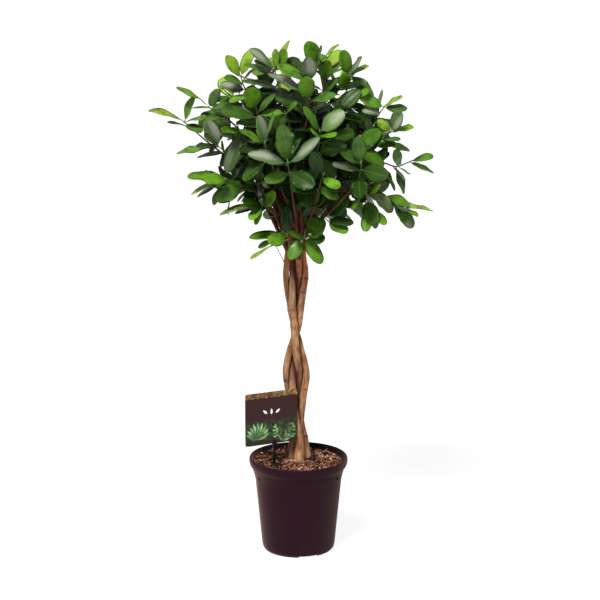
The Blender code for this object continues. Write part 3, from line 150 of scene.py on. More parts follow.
# Shoots whose leaves the photograph shows singly, nearest first, read off it in whole millimetres.
# Each is the line of its twig, the depth of the twig's tip, and its leaves: where the root is, where the
# tip is, the width that is seen, and the kind. Places are (sideways, up) where the line of sight from EYE
# meets the plane y = 0. Kinds: T plain, D dark, G bright, P with a pale sheen, Y young, O olive, U with its
# back to the front.
EYE = Vector((0.0027, -3.6, 1.31))
TWIG_SLOPE = 0.75  # depth of a seen twig's foot, as a share of its tip's
SEEN_WIDTH_SHARE = 0.56
SEEN_SHORTEST, YOUNG_SHORTEST, LENGTH_ROOM = 0.045, 0.028, 1.03
SEEN_TRIES, DEPTH_STEP, ROLL_STEP = 26, 0.005, 0.025
SEEN_SHOOTS = [
    ([(-11, 634), (-14, 658), (-18, 684)], -152, [
        (-21, 689, -29, 748, 33, "T"), (-12, 682, 36, 726, 22, "P"), (-16, 668, 26, 642, 34, "D"),
        (-19, 682, -85, 697, 22, "P"), (-19, 680, -58, 689, 14, "G"), (-19, 666, -57, 653, 24, "T"),
        (-12, 687, 3, 728, 15, "D")]),
    ([(26, 692), (35, 713), (36, 736)], -140, [
        (38, 738, 78, 770, 29, "P"), (33, 740, 8, 779, 15, "T"), (40, 730, 63, 730, 9, "G"),
        (36, 718, 82, 711, 17, "D"), (35, 730, 21, 740, 9, "G")]),
    ([(91, 641), (104, 661), (106, 682)], -128, [
        (104, 684, 97, 728, 27, "T"), (113, 670, 57, 682, 14, "P"), (113, 672, 151, 660, 33, "D"),
        (104, 687, 70, 706, 19, "D"), (91, 663, 106, 623, 33, "D")]),
    ([(30, 620), (35, 644), (42, 663)], -132, [
        (38, 661, 70, 641, 19, "G"), (47, 666, 21, 702, 27, "D"), (47, 642, 65, 620, 21, "T"),
        (23, 641, -9, 637, 17, "D")]),
    ([(-40, 668), (-50, 694), (-56, 716)], -128, [
        (-56, 714, -68, 764, 24, "P"), (-56, 718, -41, 762, 15, "G"), (-61, 713, -100, 740, 12, "G"),
        (-60, 711, -100, 704, 14, "D"), (-51, 692, -94, 654, 19, "D")]),
    ([(-58, 723), (-66, 747), (-71, 777)], -120, [
        (-70, 752, -110, 774, 22, "P"), (-71, 779, -84, 811, 31, "G"), (-71, 767, -39, 799, 12, "T"),
        (-70, 743, -105, 752, 10, "G"), (-75, 758, -130, 774, 19, "T")]),
    ([(13, 753), (19, 786), (19, 821)], -100, [
        (18, 824, 14, 863, 31, "P"), (24, 792, 9, 829, 29, "G"), (21, 789, 63, 799, 15, "T"),
        (16, 786, -39, 794, 14, "D"), (8, 799, -51, 833, 15, "P"), (4, 823, -36, 848, 17, "G"),
        (18, 784, 6, 811, 9, "P")]),
    ([(-21, 784), (-34, 814), (-39, 841)], -70, [
        (-41, 838, -19, 873, 17, "G"), (-36, 843, 3, 858, 21, "D"), (-42, 851, -14, 891, 10, "Y"),
        (-42, 841, -82, 876, 15, "P"), (-41, 833, -89, 848, 10, "T"), (-41, 838, -74, 856, 9, "T"),
        (-41, 844, -36, 876, 14, "Y"), (-34, 811, -93, 821, 12, "T"), (-29, 801, -68, 804, 14, "D")]),
    ([(-78, 791), (-91, 812), (-96, 829)], -55, [
        (-98, 829, -122, 864, 19, "Y"), (-96, 831, -76, 876, 22, "Y"), (-93, 818, -123, 826, 14, "T"),
        (-88, 806, -131, 816, 19, "P"), (-86, 799, -110, 786, 14, "G"), (-98, 821, -66, 848, 3, "G")]),
    ([(43, 804), (38, 828), (33, 849)], -30, [
        (29, 848, 13, 888, 27, "G"), (36, 824, 53, 856, 24, "G"), (33, 851, 39, 874, 10, "P"),
        (36, 861, 68, 883, 3, "Y"), (33, 802, 66, 824, 14, "T"), (40, 828, 75, 843, 5, "G")]),
    ([(75, 777), (80, 804), (85, 833)], -20, [
        (85, 836, 71, 873, 22, "G"), (81, 806, 73, 834, 24, "G"), (90, 836, 125, 792, 22, "U"),
        (86, 841, 106, 861, 10, "P"), (83, 831, 118, 848, 7, "Y"), (81, 807, 103, 823, 7, "U"),
        (78, 796, 117, 802, 9, "G"), (76, 792, 107, 796, 10, "T"), (53, 856, 71, 869, 5, "G")]),
    ([(119, 740), (132, 762), (144, 779)], -45, [
        (144, 779, 103, 792, 19, "G"), (144, 779, 182, 774, 15, "T"), (147, 786, 175, 796, 7, "Y"),
        (130, 760, 85, 784, 17, "D"), (144, 764, 110, 769, 14, "P"), (120, 747, 77, 767, 15, "T")]),
    ([(117, 702), (137, 719), (156, 738)], -62, [
        (157, 740, 174, 770, 22, "P"), (156, 738, 132, 755, 17, "Y"), (156, 733, 194, 743, 9, "G"),
        (144, 725, 168, 721, 10, "T"), (134, 709, 164, 713, 15, "G"), (122, 723, 154, 745, 12, "P"),
        (117, 723, 109, 765, 15, "T"), (139, 713, 188, 704, 9, "G"), (119, 704, 144, 730, 17, "T")]),
    ([(114, 680), (141, 685), (167, 677), (190, 687)], -30, [
        (177, 677, 160, 704, 19, "G"), (190, 689, 227, 692, 12, "G"), (188, 684, 229, 666, 10, "G"),
        (155, 673, 179, 654, 5, "G"), (160, 668, 179, 630, 12, "U"), (123, 689, 154, 699, 15, "G"),
        (170, 675, 185, 665, 3, "G")]),
    ([(91, 644), (118, 634), (145, 627), (167, 608)], -60, [
        (164, 603, 195, 572, 21, "P"), (145, 630, 189, 610, 17, "T"), (123, 630, 161, 601, 19, "U"),
        (157, 615, 178, 580, 12, "G"), (176, 615, 203, 591, 5, "G"), (174, 623, 230, 601, 3, "Y"),
        (121, 637, 138, 642, 14, "G"), (160, 618, 179, 601, 10, "D")]),
    ([(67, 637), (91, 632), (111, 623), (121, 603)], -85, [
        (120, 622, 132, 580, 31, "T"), (111, 599, 115, 565, 21, "G"), (132, 603, 149, 577, 17, "G"),
        (103, 627, 96, 605, 10, "G"), (87, 623, 50, 596, 29, "D"), (122, 591, 134, 572, 15, "D")]),
    ([(23, 620), (35, 601), (50, 584)], -90, [
        (49, 582, 83, 563, 21, "G"), (54, 589, 93, 579, 15, "D"), (33, 606, 60, 625, 14, "D"),
        (26, 610, 8, 592, 21, "D")]),
    ([(3, 518), (6, 537), (10, 556)], -52, [
        (13, 556, 39, 509, 24, "G"), (10, 558, -16, 518, 24, "G"), (8, 559, 47, 582, 31, "T"),
        (16, 556, 45, 551, 22, "D"), (6, 558, -14, 561, 14, "T")]),
    ([(-9, 523), (-13, 540), (-19, 558)], -50, [
        (-19, 558, -52, 546, 26, "G"), (-31, 563, -84, 554, 17, "G"), (-21, 558, -23, 610, 22, "D"),
        (-47, 554, -69, 537, 7, "Y"), (-47, 542, -83, 518, 5, "Y")]),
    ([(-24, 592), (-43, 599), (-60, 611)], -60, [
        (-60, 610, -38, 632, 22, "G"), (-62, 627, -94, 615, 22, "D"), (-69, 611, -81, 585, 15, "G"),
        (-62, 608, -72, 577, 10, "G"), (-77, 617, -133, 594, 7, "Y"), (-75, 610, -108, 598, 3, "D")]),
    ([(-68, 644), (-95, 642), (-121, 656)], -70, [
        (-121, 660, -160, 654, 21, "G"), (-99, 630, -140, 620, 29, "T"), (-139, 663, -188, 660, 15, "G"),
        (-82, 642, -129, 648, 21, "T"), (-129, 651, -145, 641, 9, "G"), (-155, 644, -182, 630, 5, "Y"),
        (-145, 641, -170, 629, 3, "D")]),
    ([(-89, 675), (-112, 696), (-134, 711)], -60, [
        (-130, 718, -155, 758, 29, "P"), (-132, 725, -157, 731, 10, "Y"), (-139, 709, -206, 699, 10, "G"),
        (-139, 709, -171, 711, 10, "D"), (-122, 704, -171, 692, 9, "G"), (-112, 726, -130, 711, 12, "G"),
        (-134, 713, -156, 725, 10, "D")]),
    ([(-136, 706), (-161, 726), (-182, 745), (-194, 755)], -35, [
        (-197, 755, -252, 772, 10, "Y"), (-187, 758, -173, 796, 12, "G"), (-184, 757, -164, 735, 17, "T"),
        (-182, 745, -221, 753, 3, "Y"), (-187, 760, -155, 760, 5, "G")]),
    ([(-102, 743), (-125, 764), (-147, 775), (-163, 791)], -50, [
        (-165, 792, -205, 811, 10, "G"), (-118, 767, -164, 767, 15, "T"), (-150, 774, -180, 777, 5, "Y")]),
    ([(-88, 770), (-110, 794), (-128, 811)], -70, [
        (-130, 812, -150, 782, 19, "U"), (-115, 792, -143, 789, 9, "T"), (-93, 779, -123, 779, 15, "D")]),
    ([(-78, 702), (-87, 723), (-97, 738)], -105, [
        (-98, 735, -121, 666, 26, "O"), (-90, 750, -129, 738, 12, "G"), (-81, 733, -115, 743, 12, "T")]),
    ([(-11, 723), (-14, 747), (-21, 767)], -135, [
        (-22, 767, -63, 767, 14, "G"), (-19, 770, -4, 782, 9, "G"), (-11, 777, -28, 747, 14, "D"),
        (-12, 743, 8, 740, 7, "D")]),
]

# Leaves.
GOLDEN_ANGLE = math.radians(137.5)
LEAVES_PER_SPRAY = 10
LEAF_LENGTH = 0.057  # with its stalk
LEAF_WIDTH_SHARE = 0.53
LEAF_THICK = 0.0012  # at the midrib
LEAF_ARCH = (0.25, 0.75)  # radians that a leaf bends down from its root to its tip
SEEN_ARCH = (0.20, 0.50)
LEAF_SAG = (-0.22, 0.10)  # how far a leaf's stalk bends down or up
YOUNG_SHARE, GROWN_SHARE, OLD_TAPER = 0.66, 0.36, (0.18, 0.90)  # leaf length, a sine over the leaf's age
LENGTH_SPREAD, WIDTH_SPREAD = (0.92, 1.06), (0.92, 1.10)
TIP_LEAN, FOOT_LEAN, LEAN_JITTER = 32, 70, 5  # degrees off the twig, at its tip and at its foot
LEAF_SKY, LEAF_OUTWARD = 0.55, 0.35  # how far leaves face the sky, and away from the head's middle
BARE_SHARE, CROWDING = 0.12, 1.25  # bare part of the twig's foot, and how far the leaves crowd to its tip
LEAF_TRIES, TRY_SHRINK = 14, 0.02
BLADE_STATIONS = [(0.23, 0.40), (0.64, 1.0)]  # (share of the length, share of the width)
TIP_SHARE = 0.36
CLEARANCE = 0.0012  # round a leaf, where it might meet another

NOTHING = ([Vector((0, 0, -9)), Vector((1, 0, -9)), Vector((0, 1, -9))], [(0, 1, 2)])  # out of all reach

Target = namedtuple("Target", "stem end way twig rows")  # where a branch is to end, and which way
Spray = namedtuple("Spray", "name stem wood twig rows leaves")  # rows: seen leaves, or how many it gets
Leaf = namedtuple("Leaf", "root side along up length width arch")


def ramp(ends, count):
    return [ends[0] + (ends[1] - ends[0]) * k / (count - 1) for k in range(count)]


def between(rows, height):
    """Reads a table of (height, value, ...) rows at a height, smoothly."""
    rows = [rows[0]] + list(rows) + [rows[-1]]
    last = len(rows) - 3
    k = next((i for i in range(1, last) if height < rows[i + 1][0]), last)
    before, low, high, after = rows[k - 1], rows[k], rows[k + 1], rows[k + 2]
    span = high[0] - low[0]
    t = min(1.0, max(0.0, (height - low[0]) / span))
    values = []
    for a, b, c, d in zip(before[1:], low[1:], high[1:], after[1:]):
        slope_low = (c - a) * span / max(high[0] - before[0], 1e-9)
        slope_high = (d - b) * span / max(after[0] - low[0], 1e-9)
        values.append(
            (2 * t**3 - 3 * t**2 + 1) * b + (t**3 - 2 * t**2 + t) * slope_low
            + (3 * t**2 - 2 * t**3) * c + (t**3 - t**2) * slope_high
        )
    return values


def braid():
    """The stems' heart lines, pressed apart until none is in another: {stem: [(point, radius)]}."""
    heights = ramp((STEM_RADII[0][0], STEM_RADII[-1][0]), STEM_SECTIONS)
    radii = [between(STEM_RADII, z)[0] for z in heights]
    hearts = {}
    for name, rows in STEM_COURSES.items():
        hearts[name] = [Vector((*between(rows, z), z)) for z in heights]
    for _ in range(STEM_PRESSES):
        for first, second in itertools.combinations(hearts.values(), 2):
            press_apart(first, second, radii)
    return {name: list(zip(points, radii)) for name, points in hearts.items()}


def press_apart(first, second, radii):
    """Moves two heart lines apart sideways wherever their stems would be in each other."""
    for i in range(len(first) - 1):
        for j in range(max(0, i - STEM_REACH), min(len(second) - 1, i + STEM_REACH + 1)):
            a, b = first[i:i + 2], second[j:j + 2]
            s, t = nearest_shares(*a, *b)
            apart = a[0].lerp(a[1], s) - b[0].lerp(b[1], t)
            short = radii[i] + radii[j] + STEM_GAP - apart.length
            if short <= 0:
                continue
            push = Vector((apart.x, apart.y, 0)).normalized() * (short / 2)
            a[0] += push * (1 - s)
            a[1] += push * s
            b[0] -= push * (1 - t)
            b[1] -= push * t


def nearest_shares(p1, q1, p2, q2):
    """How far along two line segments their nearest points lie, as shares of their lengths."""
    along1, along2, apart = q1 - p1, q2 - p2, p1 - p2
    a, b, c = along1.dot(along1), along1.dot(along2), along1.dot(apart)
    e, f = along2.dot(along2), along2.dot(apart)
    level = a * e - b * b
    s = min(1.0, max(0.0, (b * f - c * e) / level)) if level > 1e-18 else 0.5
    t = min(1.0, max(0.0, (b * s + f) / e))
    return min(1.0, max(0.0, (b * t - c) / a)), t


def bezier(p0, p1, p2, p3, count):
    """Points evenly spread in parameter along a cubic curve."""
    points = []
    for t in ramp((0, 1), count):
        s = 1 - t
        points.append(p0 * s**3 + p1 * (3 * s * s * t) + p2 * (3 * s * t * t) + p3 * t**3)
    return points


def point_along(points, distance):
    """(point, direction) at this distance along a line of points."""
    for a, b in zip(points, points[1:]):
        step = (b - a).length
        if distance <= step:
            return a + (b - a) * (distance / step), (b - a).normalized()
        distance -= step
    return points[-1].copy(), (points[-1] - points[-2]).normalized()


def length_of(points):
    return sum((b - a).length for a, b in zip(points, points[1:]))


def resampled(points, start, end, count):
    """Points at equal steps along a line of points, between two distances."""
    return [point_along(points, distance)[0] for distance in ramp((start, end), count)]


def nearest_stem(azimuth):
    """Each stem feeds the quarter of the head on its own side."""
    def apart(stem):
        return abs((math.degrees(azimuth) - STEM_QUARTERS[stem] + 180) % 360 - 180)
    return min(STEM_QUARTERS, key=apart)


def sighted(sideways, up, depth):
    """The point at a depth on the line of sight through a place on the plane y = 0, in millimetres."""
    place = Vector((sideways / 1000, 0, up / 1000))
    return EYE + (place - EYE) * ((depth - EYE.y) / -EYE.y)


def fork_height(tip, jitter):
    """The stems' first forks feed the lowest twigs, and the last the top of the head."""
    share = min(1.0, UP.angle(tip - HEAD_MIDDLE) / LOWEST_POLAR)
    return LAST_FORK_Z + (FIRST_FORK_Z - LAST_FORK_Z) * ((1 - FORK_JITTER) * share + FORK_JITTER * jitter)


def seen_targets(shoots):
    """The shoots that the photograph shows. Twigs are given, and a branch ends where its twig begins."""
    targets = []
    for line, depth, rows in shoots:
        depths = [depth / 1000 * share for share in ramp((TWIG_SLOPE, 1), len(line))]
        points = [sighted(x, z, y) for (x, z), y in zip(line, depths)]
        twig = resampled(points, 0, length_of(points), TWIG_POINTS)
        stem = nearest_stem(math.atan2(twig[-1].y - TRUNK_TOP.y, twig[-1].x - TRUNK_TOP.x))
        targets.append(Target(stem, twig[0], (twig[1] - twig[0]).normalized(), twig, rows))
    return targets


def head_targets(rng):
    """The other sprays, even over the dome. A branch ends at its twig's tip. Those in front stay inside."""
    targets = []
    lowest_cos = math.cos(LOWEST_POLAR)
    for k in range(SPRAY_COUNT):
        polar = math.acos(1 - (1 - lowest_cos) * (k + 0.6) / SPRAY_COUNT)
        azimuth = k * GOLDEN_ANGLE + rng.uniform(-TURN_JITTER, TURN_JITTER)
        level = math.sin(polar)
        out = Vector((level * math.cos(azimuth), level * math.sin(azimuth), math.cos(polar)))
        reach = 1 + rng.uniform(-HEAD_JITTER, HEAD_JITTER)
        if out.y < FACING:
            reach *= INNER_REACH
        tip = HEAD_MIDDLE + Vector(a * b for a, b in zip(out, HEAD_REACH)) * reach
        points_to = (out + UP * (TIP_LIFT - (TIP_LIFT + TIP_DROOP) * polar / LOWEST_POLAR)).normalized()
        targets.append(Target(nearest_stem(azimuth), tip, points_to, None, LEAVES_PER_SPRAY))
    return targets


def branch_line(heart, end, way, rng, attempt):
    """A smooth line from a stem to a point, which it reaches on this way. Later attempts stray more."""
    spread = attempt / LIMB_TRIES
    fork = fork_height(end, rng.random()) + rng.uniform(-0.03, 0.01) * spread
    root = next(p for p, _ in heart if p.z >= fork)
    reach = (end - root).length
    out = Vector((end.x - TRUNK_TOP.x, end.y - TRUNK_TOP.y, 0)).normalized()
    aside = out.cross(UP) * rng.uniform(-0.5, 0.5)
    rise = FORK_RISE * (1 + rng.uniform(-1, 1) * spread)
    lean = FORK_LEAN * (1 + rng.uniform(-1, 1) * spread)
    handle = root + UP * (rise * reach) + (out + aside * spread) * (lean * reach)
    return bezier(root, handle, end - way * (TIP_HANDLE * reach), end, LINE_POINTS)


def limb_lines(target, heart, rng, attempt):
    """The points of a branch, and of the twig that goes on from it."""
    line = branch_line(heart, target.end, target.way, rng, attempt)
    wood_length = length_of(line)
    twig = target.twig
    if twig is None:
        total = wood_length
        wood_length -= min(TWIG_LENGTH, TWIG_SHARE * total)
        twig = resampled(line, wood_length, total, TWIG_POINTS)
    wood = resampled(line, 0, wood_length, WOOD_POINTS)
    wood_way = (wood[-1] - wood[-2]).normalized()
    bend = wood_way.angle(twig[1] - twig[0])
    wood[-1] -= wood_way * (GAP + TWIG_RADII[0] * math.sin(bend))
    bud = twig[-1] + (twig[-1] - twig[-2]).normalized() * BUD_LENGTH
    return wood, twig + [bud]


def swollen(points, radii, room):
    return tube_mesh(points, [r + room for r in ramp(radii, len(points))])


def grow_branches(lines, rng):
    """The sprays without their leaves: each has a brown branch from its stem and a green twig at its end.

    Branches of one stem may cross, because they grow into one another, but no others touch. A spray that
    finds no clear way is left out.
    """
    sprays, limbs = [], Obstacles()
    for stem, line in lines.items():
        limbs.add(stem, tube_mesh([p for p, _ in line], [r for _, r in line]), NOTHING)
    for target in seen_targets(SEEN_SHOOTS) + head_targets(rng):
        name = f"spray_{len(sprays) + 1:02d}"
        for attempt in range(LIMB_TRIES):
            wood, twig = limb_lines(target, lines[target.stem], rng, attempt)
            wood_tube = swollen(wood, WOOD_RADII, LIMB_ROOM)
            twig_tube = swollen(twig, TWIG_RADII, LIMB_ROOM)
            if limbs.clear(target.stem, wood_tube, NOTHING) and limbs.clear(name, twig_tube, twig_tube):
                limbs.add(target.stem, wood_tube, NOTHING)
                limbs.add(name, twig_tube, twig_tube)
                sprays.append(Spray(name, target.stem, wood, twig, target.rows, []))
                break
    return sprays


def blade_point(leaf, along, across, lift):
    """A point of a leaf: along is a share of its length, across and lift are metres from its midrib."""
    bend = leaf.arch * along
    ahead = leaf.length * math.sin(bend) / leaf.arch
    drop = leaf.length * (1 - math.cos(bend)) / leaf.arch
    return leaf.root + leaf.along * ahead + leaf.side * across + leaf.up * (lift - drop)


def blade_mesh(leaf, stalk=True, widen=0.0, thick=LEAF_THICK):
    """(points, triangles) of a leaf: its sections are flat on top and run to thin edges from a keel below.

    Its root and its blunt tip are edges. Without its stalk it begins, open, at its first station.
    """
    points, faces = [], []
    above, below = thick / 3, -thick * 2 / 3
    for along, share in BLADE_STATIONS:
        half = leaf.width / 2 * share + widen
        points += [blade_point(leaf, along, -half, above), blade_point(leaf, along, half, above)]
        points.append(blade_point(leaf, along, 0, below))
    for low in range(0, len(points) - 3, 3):
        faces += [(low, low + 1, low + 4), (low, low + 4, low + 3)]
        for edge, keel in ((low, low + 2), (low + 2, low + 1)):
            faces += [(keel, edge, edge + 3), (keel, edge + 3, keel + 3)]
    last, left, right = len(points) - 3, len(points), len(points) + 1
    half = leaf.width / 2 * TIP_SHARE + widen
    points += [blade_point(leaf, 1, -half, 0), blade_point(leaf, 1, half, 0)]
    faces += [(last, last + 1, right), (last, right, left), (last + 2, last, left)]
    faces += [(last + 1, last + 2, right), (last + 2, left, right)]
    if stalk:
        top, bottom = len(points), len(points) + 1
        points += [leaf.root + leaf.up * above, leaf.root + leaf.up * below]
        faces += [(top, 1, 0), (top, 0, bottom), (top, bottom, 1), (bottom, 0, 2), (bottom, 2, 1)]
    return points, faces


def tube_mesh(points, radii, sides=6):
    """(points, triangles) of a plain open tube, for telling what a leaf would touch."""
    rings, faces = [], []
    for k, (point, radius) in enumerate(zip(points, radii)):
        ahead = points[min(k + 1, len(points) - 1)] - points[max(k - 1, 0)]
        side = ahead.orthogonal().normalized()
        other = ahead.normalized().cross(side)
        for n in range(sides):
            turn = 2 * math.pi * n / sides
            rings.append(point + (side * math.cos(turn) + other * math.sin(turn)) * radius)
    for low in range(0, len(rings) - sides, sides):
        for n in range(sides):
            a, b = low + n, low + (n + 1) % sides
            faces += [(a, b, b + sides), (a, b + sides, a + sides)]
    return rings, faces


class Obstacles:
    """What is already in the head, each with a tree of its faces, so that a new leaf keeps clear of it."""

    def __init__(self):
        self.things = []

    def add(self, owner, whole, blade):
        middle, size = self.ball(whole[0])
        trees = BVHTree.FromPolygons(*whole), BVHTree.FromPolygons(*blade)
        self.things.append((owner, middle, size, *trees))

    def clear(self, owner, whole, blade):
        """Whether a leaf meets nothing. On its own twig only blades count, as the stalks start there."""
        middle, size = self.ball(whole[0])
        whole_tree, blade_tree = BVHTree.FromPolygons(*whole), BVHTree.FromPolygons(*blade)
        for other, centre, reach, other_whole, other_blade in self.things:
            if (centre - middle).length > reach + size:
                continue
            pair = (blade_tree, other_blade) if other == owner else (whole_tree, other_whole)
            if pair[0].overlap(pair[1]):
                return False
        return True

    @staticmethod
    def ball(points):
        middle = sum(points, Vector()) / len(points)
        return middle, max((p - middle).length for p in points)


def leaf_at(spray, share, turn, lean, length, rng):
    """A leaf on a twig: share is how far up the twig, turn its way round it and lean its angle off it."""
    root, ahead = point_along(spray.twig[:-1], share * length_of(spray.twig[:-1]))
    side = ahead.cross(UP).normalized()
    out = side * math.cos(turn) + side.cross(ahead) * math.sin(turn)
    arch = rng.uniform(*LEAF_ARCH)
    along = (ahead * math.cos(lean) + out * math.sin(lean) + UP * rng.uniform(*LEAF_SAG)).normalized()
    outward = (root - HEAD_MIDDLE).normalized()
    up = ahead * math.sin(lean) - out * math.cos(lean) + UP * LEAF_SKY + outward * LEAF_OUTWARD
    up = (up - along * up.dot(along)).normalized()
    width = length * LEAF_WIDTH_SHARE * rng.uniform(*WIDTH_SPREAD)
    return Leaf(root, along.cross(up), along, up, length, width, arch)


def seen_leaf(spray, row, attempt, rng):
    """A leaf where the photograph shows it. Later attempts tip it nearer or farther, and roll it."""
    root_x, root_z, tip_x, tip_z, seen_width, kind = row
    line = resampled(spray.twig[:-1], 0, length_of(spray.twig[:-1]), LINE_POINTS)
    root = min(line, key=lambda p: (p - sighted(root_x, root_z, p.y)).length)
    seen_width *= (root.y - EYE.y) / -EYE.y / 1000
    flat = (sighted(tip_x, tip_z, root.y) - root).length
    shortest = YOUNG_SHORTEST if kind == "Y" else SEEN_SHORTEST
    wanted = max(flat * LENGTH_ROOM, shortest, min(LEAF_LENGTH, seen_width / SEEN_WIDTH_SHARE))
    nearer = math.sqrt(wanted**2 - flat**2) + DEPTH_STEP * ((attempt + 1) // 2) * (-1) ** attempt
    chord = sighted(tip_x, tip_z, root.y - nearer) - root
    arch = rng.uniform(*SEEN_ARCH)
    length = chord.length * (arch / 2) / math.sin(arch / 2)
    width = length * SEEN_WIDTH_SHARE
    roll = math.acos(min(1.0, seen_width / width)) + rng.uniform(-1, 1) * ROLL_STEP * attempt
    ahead, facing = chord.normalized(), (EYE - root).normalized()
    facing = (facing - ahead * facing.dot(ahead)).normalized()
    rising = ahead.cross(facing)
    rising *= math.copysign(1, rising.z)
    front = -1 if kind == "U" else 1
    face = facing * (front * math.cos(roll)) + rising * math.sin(roll)
    along = ahead * math.cos(arch / 2) + face * math.sin(arch / 2)
    up = face * math.cos(arch / 2) - ahead * math.sin(arch / 2)
    return Leaf(root, along.cross(up), along, up, length, width, arch)


def grow_seen_leaves(spray, obstacles, rng):
    for row in spray.rows:
        for attempt in range(SEEN_TRIES):
            if take_place(seen_leaf(spray, row, attempt, rng), spray, obstacles):
                break
        else:
            print(spray.name, "has no place for", row)


def take_place(leaf, spray, obstacles):
    """Gives a leaf to its spray if it is clear of everything else."""
    whole = blade_mesh(leaf, True, CLEARANCE, LEAF_THICK + 2 * CLEARANCE)
    blade = blade_mesh(leaf, False, CLEARANCE, LEAF_THICK + 2 * CLEARANCE)
    if not obstacles.clear(spray.name, whole, blade):
        return False
    spray.leaves.append(leaf)
    obstacles.add(spray.name, whole, blade)
    return True


def grow_leaves(spray, obstacles, rng):
    """Leaves wind up the twig, close together at its tip, each turned until it is clear of all else."""
    first_turn = rng.uniform(0, 2 * math.pi)
    for k, age in enumerate(ramp((1, 0), spray.rows)):
        share = 1 - (1 - BARE_SHARE) * age**CROWDING
        lean = TIP_LEAN + (FOOT_LEAN - TIP_LEAN) * age
        grown = math.sin(math.pi * min(1.0, OLD_TAPER[0] + OLD_TAPER[1] * age))
        size = LEAF_LENGTH * (YOUNG_SHARE + GROWN_SHARE * grown)
        for attempt in range(LEAF_TRIES):
            turn = first_turn + k * GOLDEN_ANGLE + rng.uniform(-TURN_JITTER, TURN_JITTER) * (1 + attempt)
            tilt = math.radians(lean + rng.uniform(-LEAN_JITTER, LEAN_JITTER) * (1 + attempt / 2))
            length = size * (1 - TRY_SHRINK * attempt) * rng.uniform(*LENGTH_SPREAD)
            leaf = leaf_at(spray, share, turn, tilt, length, rng)
            if take_place(leaf, spray, obstacles):
                break


def grow_head(lines):
    """Every spray with its leaves."""
    rng = random.Random(SEED)
    sprays = grow_branches(lines, rng)
    obstacles = Obstacles()
    for name, line in lines.items():
        tube = tube_mesh([p for p, _ in line], [r + CLEARANCE for _, r in line])
        obstacles.add(name, tube, tube)
    for spray in sprays:
        wood = swollen(spray.wood, WOOD_RADII, CLEARANCE)
        twig = swollen(spray.twig, TWIG_RADII, CLEARANCE)
        obstacles.add(spray.stem, wood, wood)
        obstacles.add(spray.name, twig, twig)
    for spray in sprays:
        if isinstance(spray.rows, int):
            grow_leaves(spray, obstacles, rng)
        else:
            grow_seen_leaves(spray, obstacles, rng)
    return sprays


# What follows is only in the scene.

FULL_TURN = 2 * math.pi

PETIOLE = 0.09  # the stalk's share of a leaf's length
BLADE_RINGS = [0.0, 0.06, 0.14, 0.24, 0.36, 0.48, 0.60, 0.71, 0.81, 0.89, 0.95, 0.985]
BLADE_ACROSS = [-1.0, -0.68, -0.34, 0.0, 0.34, 0.68, 1.0]
BLADE_WIDEST = 0.52
BLADE_THICK, RIB_THICK, NARROWEST = 0.0004, 0.0005, 0.0006
STALK_RADII = (0.0009, 0.0007)
BUD_RADII = [0.0009, 0.0011, 0.0007, 0.0002]

BARK_SWELL = 0.0004  # the bark is this much thicker than the CAD stems, so that the strands touch
# Painted shade: the dark of a groove is painted onto the bark.
CREASE_REACH = 0.0040  # how far the dark of a groove between two strands runs out over them
LEVEL = 0.008  # height of the slices in which the braid's middle is found
STEM_SIDES, STEM_RINGS, STEM_KNOTS = 28, 170, 14
INNER_WOOD_RADII = (0.0021, 0.0013)
BRANCH_KNOT_STEP = 0.03
KNOT_REACH = 0.0030  # how far a knot's bulge runs along its limb
MARK_REACH = (0.0030, 0.0016)  # how far a scar on the front runs sideways and up
# Node scars on the front of the braid, read off the photograph: (x, z).
FRONT_SCARS = [(0.014, 0.502), (0.005, 0.415), (-0.009, 0.401), (-0.015, 0.365), (0.011, 0.289),
               (0.009, 0.461), (-0.011, 0.431), (-0.022, 0.302)]

INNER_SEED, INNER_COUNT, INNER_LEAVES, INNER_PER_PIECE = 5, 62, 9, 8
# How each kind of leaf looks: (shade from dark to bright, which is the leaf's tone with painted light and
# shade in it, how young, how strong its painted sheen).
LEAF_LOOKS = {
    "T": (0.56, 0.0, 0.03), "D": (0.29, 0.0, 0.0), "G": (0.86, 0.04, 0.0), "P": (0.56, 0.0, 1.0),
    "Y": (0.98, 0.85, 0.05), "O": (0.30, 0.0, 0.25), "U": (0.55, 0.0, 0.0),
}
LOOK_SPREADS = (0.12, 0.04, 0.05)
# What guessed leaves are chosen from, inside the head, low and high on its outside. The dark kinds inside
# are painted shade, and the bright and sheened kinds high up are partly painted light.
INNER_KINDS, LOW_KINDS, HIGH_KINDS, HIGH_FROM = "DDDTT", "DTTTGGP", "TTGGGPP", 0.3
# Painted shade: guessed leaves are darkest within the first share of the head's reach, and gain light over
# the second.
SHADE_FROM, SHADE_SPAN, DARKEST = 0.60, 0.42, 0.02
